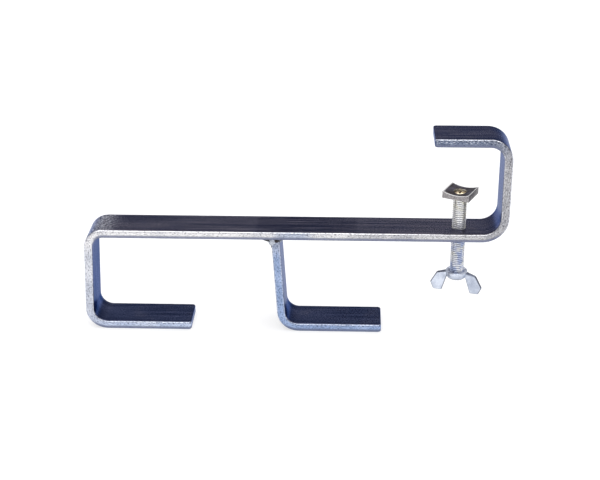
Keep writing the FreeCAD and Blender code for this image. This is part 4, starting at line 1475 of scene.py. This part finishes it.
@dataclass
class ClampScrew:
    """Threaded rod with its wing nut and the weld ring that locks them together.

    Attributes:
        pitch: rise of the thread in one turn.
        thread_depth: depth of its root.
        root_share: part of the pitch that the flat root takes up.
        flank_share: part of the pitch that the two flanks take up.
        clear_above: heights between which the thread's blue film ends.
        end_chamfer: cone at both ends of the rod.
        shank_radius: radius of the blind hole for the pad screw.
        shank_depth: depth of that hole.
        hub_radius: radius of the wing nut's hub.
        hub_height: its height.
        hub_rim: rounding of its rims.
        bore_radius: radius of its bore.
        wing_turn: turn of the wings at rest, in degrees.
        wing_half: half thickness of a wing.
        wing_corners: reach, height under the hub's top and radius of each corner of a wing.
        wing_rim: rounding of a wing's edge.
        wing_taper: loss of half thickness for each millimetre of reach.
        wing_root: what the fillet at the hub adds to the half thickness.
        root_reach: width of that fillet's bell curve.
        wing_tones: painted shade of the two wings.
        lock_reach: leg of the weld ring.
        step: spacing of the rod's rings.
        around: points per ring of the rod.
    """

    pitch: float = 1.5
    thread_depth: float = 0.88
    root_share: float = 0.08
    flank_share: float = 0.52
    clear_above: tuple[float, float] = (71.0, 75.0)
    end_chamfer: float = 1.0
    shank_radius: float = 2.55
    shank_depth: float = 8.6
    hub_radius: float = 7.9
    hub_height: float = 4.8
    hub_rim: float = 0.9
    bore_radius: float = 5.05
    wing_turn: float = -16.0
    wing_half: float = 1.3
    wing_corners: tuple[tuple[float, float, float], ...] = (
        (5.8, -0.6, 0.3), (14.5, -3.4, 2.4), (19.3, -12.3, 1.8), (16.8, -17.8, 1.2),
        (10.5, -17.8, 1.2), (6.4, -4.2, 0.15), (5.8, -4.2, 0.15))
    wing_rim: float = 1.0
    wing_taper: float = 0.018
    wing_root: float = 1.1
    root_reach: float = 1.7
    wing_tones: tuple[float, float] = (0.32, 0.04)
    lock_reach: float = 1.5
    step: float = 0.125
    around: int = 60

    def __post_init__(self) -> None:
        """Reads the axis and the heights from the CAD nodes."""
        low, high = extent("clamp_screw")
        self.bottom, self.top = low[2], high[2]
        self.radius = (high[0] - low[0]) / 2
        self.axis = axis_of("clamp_screw")
        self.hub_top = extent("wing_nut")[1][2]

    def rod(self) -> Shell:
        """Rod with a right-hand thread.

        The phase z / pitch - a / turn is a saw whose distance from its middle gives the flanks:
        a flat crest over two fifths of the pitch, a narrow flat root, and between them a slope
        of 0.65 t plus 0.175 (1 - cos pi t), which rounds its ends. The rod's ends are coned, and
        a blind hole for the pad screw is sunk in the upper one.

        Returns:
            The closed rod, with the marks root and lower.
        """
        rows = int((self.top - self.bottom) / self.step) + 1
        height = np.linspace(self.bottom, self.top, rows)
        angle = np.arange(self.around) * TURN / self.around
        phase = (height[:, None] - self.bottom) / self.pitch - angle / TURN
        flank = np.abs(phase % 1.0 - 0.5) * 2
        rise = np.clip((flank - self.root_share) / self.flank_share, 0, 1)
        rise = 0.65 * rise + 0.175 * (1 - np.cos(math.pi * rise))
        reach = self.radius - self.thread_depth * (1 - rise)
        cone = self.radius - self.end_chamfer + np.minimum(
            height - self.bottom, self.top - height)[:, None]
        reach = np.minimum(reach, cone)
        depth = (self.radius - reach) / self.thread_depth
        floor = self.top - self.shank_depth
        reach = np.concatenate([reach, np.full((2, self.around), self.shank_radius)])
        height = np.concatenate([height, [self.top, floor]])
        # The blind hole gets part of the roots' painted shade.
        in_hole = 0.6
        root = np.concatenate([np.clip(depth, 0, 1), np.full((2, self.around), in_hole)])
        # lower: 1 below the bar, where the finish paints a blue shade.
        lower = np.broadcast_to(1 - smooth(height, *self.clear_above)[:, None], root.shape)
        return capped(revolved(reach, height, self.around), axis_point(self.bottom),
                      axis_point(floor), {"root": root, "lower": lower}).placed(self.axis)

    def hub(self) -> Shell:
        """Hub of revolution: rounded rims, a dished top, a countersink and the rod's bore.

        A ripple of at most six thousandths of the reach roughens its outside.

        Returns:
            The closed hub, its top at height 0, with the marks edge and tone.
        """
        bulge, drop = quarter(6)
        low, rim = -self.hub_height, self.hub_rim
        profile = np.concatenate([
            [[self.bore_radius, low + 0.5], [self.bore_radius + 0.5, low]],
            np.stack([self.hub_radius - 0.35 - rim + rim * bulge, low + rim * drop], axis=1),
            np.stack([self.hub_radius - rim * drop, -rim + rim * bulge], axis=1),
            [[self.hub_radius - 1.9, -0.12], [self.bore_radius + 0.7, -0.25],
             [self.bore_radius, -0.9]],
        ])
        rings = revolved(profile[:, 0], profile[:, 1], 72)
        swirl = np.arctan2(rings[..., 1], rings[..., 0])
        waver = 1 - 0.006 * np.abs(ripple(3 * np.cos(swirl), rings[..., 2] * 0.6))
        outside = rings[..., 0] ** 2 + rings[..., 1] ** 2 > (self.bore_radius + 0.8) ** 2
        rings[..., :2] *= np.where(outside, waver, 1.0)[..., None]
        # Painted shade on the lower part of the hub's side.
        side = smooth(-rings[..., 2], 0.6, 1.4) * 0.55
        return looped(rings, {"edge": np.zeros_like(side), "tone": side})

    def wing_outline(self, per_corner: int = 7) -> tuple[np.ndarray, np.ndarray]:
        """Rounded outline of a wing as (reach, height) points, with its inward directions.

        Each corner is an arc tangent to both sides: centre = corner + bisector * r / sin(half).

        Args:
            per_corner: points on each arc.

        Returns:
            (m, 2) points and (m, 2) unit directions.
        """
        table = np.array(self.wing_corners)
        corners, radii = table[:, :2], table[:, 2]
        before = np.roll(corners, 1, axis=0) - corners
        after = np.roll(corners, -1, axis=0) - corners
        before /= np.linalg.norm(before, axis=1, keepdims=True)
        after /= np.linalg.norm(after, axis=1, keepdims=True)
        bisector = before + after
        bisector /= np.linalg.norm(bisector, axis=1, keepdims=True)
        half = np.arccos(np.clip((before * after).sum(axis=1), -1, 1)) / 2
        centre = corners + bisector * (radii / np.sin(half))[:, None]
        convex = np.sign(before[:, 0] * after[:, 1] - before[:, 1] * after[:, 0])
        first = corners + before * (radii / np.tan(half))[:, None] - centre
        sweep = (math.pi - 2 * half) * convex
        part = np.linspace(0, 1, per_corner)[None]
        angle = np.arctan2(first[:, 1], first[:, 0])[:, None] - part * sweep[:, None]
        arcs = centre[:, None] + radii[:, None, None] * np.stack(
            [np.cos(angle), np.sin(angle)], axis=-1)
        outline = arcs.reshape(-1, 2)
        along = np.roll(outline, -1, axis=0) - np.roll(outline, 1, axis=0)
        along /= np.linalg.norm(along, axis=1, keepdims=True)
        inward = np.stack([-along[:, 1], along[:, 0]], axis=1)
        area = (outline[:, 0] * np.roll(outline[:, 1], -1)
                - outline[:, 1] * np.roll(outline[:, 0], -1)).sum()
        return outline, inward * math.copysign(1.0, area)

    def wing(self, turn: float, tone: float) -> Shell:
        """One wing: rings of its outline drawn in towards the middle on both of its sides.

        The half thickness falls with the reach, and a bell curve of the distance from the hub's
        wall adds the root's fillet. The rim is a half round.

        Args:
            turn: angle about the hub, in degrees.
            tone: the wing's painted shade, from 0 to 1.

        Returns:
            The closed wing, with the marks edge and tone.
        """
        outline, inward = self.wing_outline()
        bulge, drop = quarter(6)
        rim = self.wing_rim
        middle = outline.mean(axis=0)
        core = outline + inward * rim
        levels = [(outline + inward * rim * (1 - s), 1 - d)
                  for s, d in zip(bulge[::-1], drop[::-1])]
        levels += [(middle + (core - middle) * share, 1.0) for share in (0.75, 0.5, 0.25)]
        buried = 0.6
        sides = []
        for sign, order in ((-1, levels[::-1]), (1, levels)):
            for flat, lift in order:
                past_hub = flat[:, 0] - self.hub_radius
                root = np.exp(-(np.clip(past_hub + buried, 0, None) / self.root_reach) ** 2)
                plate = self.wing_half - self.wing_taper * past_hub
                thick = (plate + self.wing_root * root) * lift
                sides.append(np.stack([flat[:, 0], sign * thick, flat[:, 1]], axis=-1))
        rings = np.stack(sides)
        poles = [np.array([middle[0], sign * self.wing_half, middle[1]]) for sign in (-1, 1)]
        thin = np.array([lift for _, lift in levels])
        # edge: 1 on the rim, which the finish paints dark as a reflection.
        edge = np.sqrt(1 - np.concatenate([thin[::-1], thin]) ** 2)
        edge = edge[:, None] * np.ones(len(outline))
        marks = {"edge": edge, "tone": np.full(edge.shape, tone)}
        return capped(rings, poles[0], poles[1], marks).placed(np.zeros(3), turn=turn)

    def build_wing_nut(self, finish: bpy.types.Material) -> None:
        """Hub and two wings, turned to their place at rest.

        Args:
            finish: the casting's material.
        """
        right, left = self.wing_tones
        shells = [shell.placed(self.axis, self.hub_top, self.wing_turn)
                  for shell in (self.hub(), self.wing(0.0, right), self.wing(180.0, left))]
        add_piece("wing_nut_cast", shells, Body.SCREW, "wing_nut", finish)

    def build_rod(self, finish: bpy.types.Material) -> None:
        """The threaded rod.

        Args:
            finish: the thread's material.
        """
        add_piece("clamp_screw_threaded", [self.rod()], Body.SCREW, "clamp_screw",
                  finish)

    def build_lock(self, finish: bpy.types.Material) -> None:
        """Weld ring in the corner under the hub, its face rippled round the rod.

        The profile is a quarter round of the ring's leg, drawn in by a tenth of |sin 9a| and
        unevenly by a smooth ripple, where a is the angle about the rod.

        Args:
            finish: the weld metal's material.
        """
        around = 96
        angle = np.arange(around) * TURN / around
        bow = np.linspace(0, math.pi / 2, 9)[:, None]
        swell = 1 - 0.10 * np.abs(np.sin(9 * angle)) - 0.05 * ripple(2 * np.cos(angle))
        reach = self.bore_radius + self.lock_reach * np.cos(bow) * swell
        height = -self.lock_reach * np.sin(bow) * swell
        corner = np.zeros((1, around))
        reach = np.concatenate([reach, corner + self.bore_radius])
        height = np.concatenate([height, corner])
        rings = revolved(reach, height, around)
        scorch = 0.25
        shell = looped(rings, {"toe": np.full(rings.shape[:2], scorch)})
        shell.placed(self.axis, self.hub_top - self.hub_height)
        add_piece("wing_lock_rippled", [shell], Body.SCREW, "wing_lock", finish)


# ------------------------------------------------------------------------------ pressure pad

@dataclass
class PressurePad:
    """Pad with a hollow top, the bush that it turns on and the screw that holds it.

    Attributes:
        turn: turn of the pad at rest, in degrees.
        half_length: half length across the hollow.
        half_width: half width along it.
        height: height of the sides at the hollow's ends.
        hollow_radius: radius of the hollow.
        edge_round: rounding of the level edges.
        corner_round: rounding of the upright ones.
        bore_radius: radius of the bore for the bush.
        bore_chamfer: chamfer at its lower mouth.
        seat_radius: radius of the seat under the screw's head.
        seat_height: height of that seat.
        seat_chamfer: chamfer at its upper rim.
        head_turn: turn of the screw's cross against the pad, in degrees.
        head_radius: radius of the screw's head.
        head_height: height of the head.
        head_rim: height of its upright rim, under the dome.
        shank_radius: radius of the shank.
        shank_chamfer: cone at its end.
        recess_reach: half length of the cross.
        recess_half: half width of its arms.
        recess_depth: depth of its middle.
    """

    turn: float = -25.4
    half_length: float = 10.15
    half_width: float = 9.5
    height: float = 5.4
    hollow_radius: float = 25.5
    edge_round: float = 0.4
    corner_round: float = 0.5
    bore_radius: float = 3.6
    bore_chamfer: float = 0.35
    seat_radius: float = 4.7
    seat_height: float = 1.2
    seat_chamfer: float = 0.15
    head_turn: float = 8.0
    head_radius: float = 4.4
    head_height: float = 1.7
    head_rim: float = 0.6
    shank_radius: float = 2.5
    shank_chamfer: float = 0.4
    recess_reach: float = 2.6
    recess_half: float = 0.62
    recess_depth: float = 1.3

    def __post_init__(self) -> None:
        """Reads the axis and the heights from the CAD nodes."""
        self.axis = axis_of("swivel_bush")
        self.base = extent("pressure_pad")[0][2]
        self.screw_low, self.screw_high = (corner[2] for corner in extent("pad_screw"))

    def top_at(self, across: np.ndarray) -> np.ndarray:
        """Height of the hollow: the corner's height plus R cos(half angle) less sqrt(R^2 - x^2)."""
        centre = self.height + math.sqrt(self.hollow_radius ** 2 - self.half_length ** 2)
        return centre - np.sqrt(self.hollow_radius ** 2 - across ** 2)

    def build_pad(self, finish: bpy.types.Material) -> None:
        """The pad as one loop of rings: underside, rounded side, hollow, seat and bore.

        Args:
            finish: the pad steel's material.
        """
        section = BarSection(self.half_length, self.half_width, self.corner_round,
                             width_cells=24, thickness_cells=20, corner_cells=5)
        rings, rims = [], []

        def outline(inset: float) -> np.ndarray:
            """Rounded rectangle drawn in by an inset, as (m, 2) places.

            Args:
                inset: how far it is drawn in.

            Returns:
                The places.
            """
            x, y = section.ring(np.array([self.half_length - inset]),
                                np.array([self.half_width - inset]),
                                np.array([max(self.corner_round - inset, 0.15)]))
            return np.stack([x[0], y[0]], axis=-1)

        def circle(radius: float) -> np.ndarray:
            """Circle whose points lie at the outline's angles."""
            edge = outline(0.0)
            return radius * edge / np.linalg.norm(edge, axis=1, keepdims=True)

        def lay(flat: np.ndarray, height: Union[float, np.ndarray], rim: float = 0.0) -> None:
            """Adds a ring at a height, with its value of the mark rim."""
            rings.append(np.column_stack([flat, np.broadcast_to(height, len(flat))]))
            rims.append(rim)

        edge = self.edge_round
        bulge, drop = quarter(5)
        bore, wall = circle(self.bore_radius), circle(self.seat_radius)
        lay(bore, self.bore_chamfer)
        lay(circle(self.bore_radius + self.bore_chamfer), 0.0)
        for s, d in zip(bulge, drop):
            lay(outline(edge * (1 - s)), edge * d)
        # The hollow's rounded edge, the ring inside it and the seat's rim carry the mark rim, which
        # the finish paints as a highlight.
        for s, d in zip(bulge, drop):
            flat = outline(edge * d)
            lay(flat, self.top_at(flat[:, 0]) - edge * (1 - s), float(s))
        crest = len(rings) - 1
        inner, seat = outline(edge), circle(self.seat_radius + self.seat_chamfer)
        for index, share in enumerate(np.linspace(0.06, 1.0, 12)):
            flat = inner * (1 - share) + seat * share
            lay(flat, self.top_at(flat[:, 0]), 0.7 if index == 0 else 0.0)
        lay(wall, self.top_at(wall[:, 0]) - self.seat_chamfer, 0.6)
        lay(wall, self.seat_height)
        lay(bore, self.seat_height)
        stack = np.stack(rings)
        shape = stack.shape[:2]
        hollow = (np.arange(len(stack)) >= crest).astype(float)
        shell = looped(stack, {"hollow": np.broadcast_to(hollow[:, None], shape),
                               "rim": np.broadcast_to(np.array(rims)[:, None], shape)})
        shell.placed(self.axis, self.base, self.turn)
        add_piece("pressure_pad_hollowed", [shell], Body.PAD, "pressure_pad", finish)

    def build_pad_screw(self, finish: bpy.types.Material) -> None:
        """Dome head with a cross recess on its shank.

        The dome is crown - (R - sqrt(R^2 - r^2)). Inside the cross of two bars it is lowered by
        a depth that falls from the middle outwards, through a steep smooth step at the walls.

        Args:
            finish: the screw's material.
        """
        around = 144
        head = self.screw_high - self.head_height
        rise = self.head_height - self.head_rim
        dome = (self.head_radius ** 2 + rise ** 2) / (2 * rise)
        cone = self.shank_chamfer
        stem = np.array([
            [self.shank_radius - cone, self.screw_low], [self.shank_radius, self.screw_low + cone],
            [self.shank_radius, head], [self.head_radius - 0.15, head],
            [self.head_radius, head + 0.15], [self.head_radius, head + self.head_rim - 0.12]])
        reach = np.linspace(self.head_radius - 0.06, 0.08, 52)
        top = self.screw_high - (dome - np.sqrt(dome ** 2 - reach ** 2))
        angle = np.arange(around) * TURN / around
        x, y = reach[:, None] * np.cos(angle), reach[:, None] * np.sin(angle)

        def bar(long: np.ndarray, short: np.ndarray) -> np.ndarray:
            """1 inside one bar of the cross, 0 outside it."""
            return ((1 - smooth(np.abs(short), self.recess_half - 0.08, self.recess_half + 0.08))
                    * (1 - smooth(np.abs(long), self.recess_reach - 0.2, self.recess_reach + 0.1)))

        cut = np.maximum(bar(x, y), bar(y, x))
        deep = self.recess_depth * (1 - 0.35 * reach[:, None] / self.recess_reach)
        height = top[:, None] - cut * deep
        reach_all = np.concatenate([stem[:, 0], reach])
        height_all = np.concatenate([np.broadcast_to(stem[:, 1:], (len(stem), around)), height])
        rings = revolved(reach_all, height_all, around)
        mark = np.concatenate([np.zeros((len(stem), around)), cut])
        shell = capped(rings, axis_point(self.screw_low), axis_point(height[-1].mean()),
                       {"recess": mark})
        shell.placed(self.axis, turn=self.turn + self.head_turn)
        add_piece("pad_screw_domed", [shell], Body.SCREW, "pad_screw", finish)

    def dress_bush(self, finish: bpy.types.Material) -> None:
        """Gives the kept CAD bush its finish.

        Args:
            finish: the bush's material.
        """
        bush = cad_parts["swivel_bush"]
        bush.data.materials.clear()
        bush.data.materials.append(finish)
        LOG.info("swivel_bush: kept from the CAD model, on %s", Body.CARRIAGE.value)


# ------------------------------------------------------------------------------ studio

@dataclass
class Studio:
    """Pale floor, soft light from overhead and the camera.

    Attributes:
        floor_half: half side of the floor, in metres.
        floor_cells: its cells along each side.
        floor_colour: its paper.
        floor_cloud: the colour that its paper drifts to.
        floor_lift: light that the floor gives off, which keeps shadows faint.
        overhead: brightness straight above.
        surround: light from round about.
        horizon: light from the horizon and from below it.
        backdrop: what the camera sees past the floor.
        lens: focal length, in millimetres.
        sensor: width of the sensor, in millimetres.
        pitch: how far the camera looks down, in degrees.
        yaw: how far it looks to the right, in degrees.
        roll: how far it is rolled, in degrees.
        eye: where it stands, in millimetres.
    """

    floor_half: float = 6.0
    floor_cells: int = 8
    floor_colour: Colour = (0.34, 0.34, 0.34)
    floor_cloud: Colour = (0.335, 0.335, 0.34)
    floor_lift: float = 0.70
    overhead: float = 2.55
    surround: Colour = (0.31, 0.31, 0.345)
    horizon: Colour = (0.75, 0.77, 0.82)
    backdrop: Colour = (0.93, 0.93, 0.94)
    lens: float = 77.73
    sensor: float = 36.0
    pitch: float = 25.138
    yaw: float = -2.6006
    roll: float = -0.3953
    eye: tuple[float, float, float] = (43.53, -853.14, 468.36)

    def build_floor(self) -> None:
        """Level square under the hook, with a faint evenly scattered tone."""
        cells = self.floor_cells
        grid = np.linspace(-self.floor_half, self.floor_half, cells + 1)
        x, y = np.meshgrid(grid, grid)
        points = np.stack([x.ravel(), y.ravel(), np.zeros(x.size)], axis=-1)
        start = (np.arange(cells)[:, None] * (cells + 1) + np.arange(cells)[None]).ravel()
        faces = np.stack([start, start + 1, start + cells + 2, start + cells + 1], axis=-1)
        mesh = bpy.data.meshes.new("floor")
        mesh.from_pydata(points.tolist(), [], faces.tolist())
        paint = Paint("floor_paper", Specular_IOR_Level=0.1, Emission_Color=(1.0, 1.0, 1.0),
                      Emission_Strength=self.floor_lift)
        tone = paint.noise(paint.place(), 30.0)
        colour = paint.mix(paint.spread(tone, 0.0, 1.0), self.floor_colour, self.floor_cloud)
        mesh.materials.append(paint.finish(
            colour, paint.spread(tone, 0.85, 0.95), paint.relief(tone, 0.05, 0.1)))
        floor = bpy.data.objects.new("floor", mesh)
        bpy.context.scene.collection.objects.link(floor)

    def build_light(self) -> None:
        """Bright from overhead, dim round about, and pale where the camera looks past the floor.

        The brightness goes by the sine of the height above the horizon.
        """
        world = bpy.data.worlds.new("studio")
        bpy.context.scene.world = world
        world.use_nodes = True
        tree = world.node_tree
        tree.nodes.clear()
        source = tree.nodes.new("ShaderNodeTexCoord")
        split = tree.nodes.new("ShaderNodeSeparateXYZ")
        ramp = tree.nodes.new("ShaderNodeValToRGB")
        light, past = (tree.nodes.new("ShaderNodeBackground") for _ in range(2))
        path = tree.nodes.new("ShaderNodeLightPath")
        blend = tree.nodes.new("ShaderNodeMixShader")
        output = tree.nodes.new("ShaderNodeOutputWorld")
        bright = self.overhead
        above = (bright, bright, bright)
        stops = ((0.0, self.horizon), (0.10, self.surround), (0.60, self.surround),
                 (0.80, above), (1.0, above))
        elements = ramp.color_ramp.elements
        for index, (height, colour) in enumerate(stops):
            element = elements[index] if index < 2 else elements.new(height)
            element.position = height
            element.color = tuple(value / bright for value in colour) + (1.0,)
        ramp.color_ramp.interpolation = "EASE"
        light.inputs["Strength"].default_value = bright
        past.inputs["Color"].default_value = self.backdrop + (1.0,)
        for origin, target in (
                (source.outputs["Generated"], split.inputs[0]),
                (split.outputs["Z"], ramp.inputs[0]),
                (ramp.outputs[0], light.inputs["Color"]),
                (path.outputs["Is Camera Ray"], blend.inputs[0]),
                (light.outputs[0], blend.inputs[1]),
                (past.outputs[0], blend.inputs[2]),
                (blend.outputs[0], output.inputs["Surface"])):
            tree.links.new(origin, target)
        bpy.context.scene.view_settings.view_transform = "Standard"

    def build_camera(self) -> None:
        """Camera from pitch, yaw and roll: its axes are the columns of the turning matrix."""
        pitch, yaw, roll = (math.radians(angle) for angle in (self.pitch, self.yaw, self.roll))
        ahead = np.array([math.sin(yaw) * math.cos(pitch), math.cos(yaw) * math.cos(pitch),
                          -math.sin(pitch)])
        right = np.array([math.cos(yaw), -math.sin(yaw), 0.0])
        up = np.cross(right, ahead)
        side = math.cos(roll) * right + math.sin(roll) * up
        rise = math.cos(roll) * up - math.sin(roll) * right
        pose = np.eye(4)
        pose[:3, 0], pose[:3, 1], pose[:3, 2] = side, rise, -ahead
        pose[:3, 3] = np.array(self.eye) * MM
        data = bpy.data.cameras.new("camera")
        data.lens, data.sensor_width = self.lens, self.sensor
        data.clip_start, data.clip_end = 0.01, 60.0
        camera = bpy.data.objects.new("camera", data)
        camera.matrix_world = Matrix(pose.tolist())
        bpy.context.scene.collection.objects.link(camera)
        bpy.context.scene.camera = camera


def main() -> None:
    logging.basicConfig(level=logging.INFO, format="%(message)s")
    studio = Studio()
    studio.build_camera()
    studio.build_floor()
    studio.build_light()

    bar = PlatedBar().material()
    weld = PlatedWeld().material()
    welded = WeldedFrame()
    welded.build_main_bar(bar)
    welded.build_centre_hook(bar)
    welded.build_welds(weld)

    screw = ClampScrew()
    screw.build_rod(PlatedThread().material())
    screw.build_wing_nut(PlatedCasting().material())
    screw.build_lock(weld)

    pad = PressurePad()
    pad.build_pad(PadSteel().material())
    pad.build_pad_screw(YellowPassivate("yellow_passivate").material())
    pad.dress_bush(YellowPassivate("bush_brass").material())


if __name__ == "__main__":
    main()
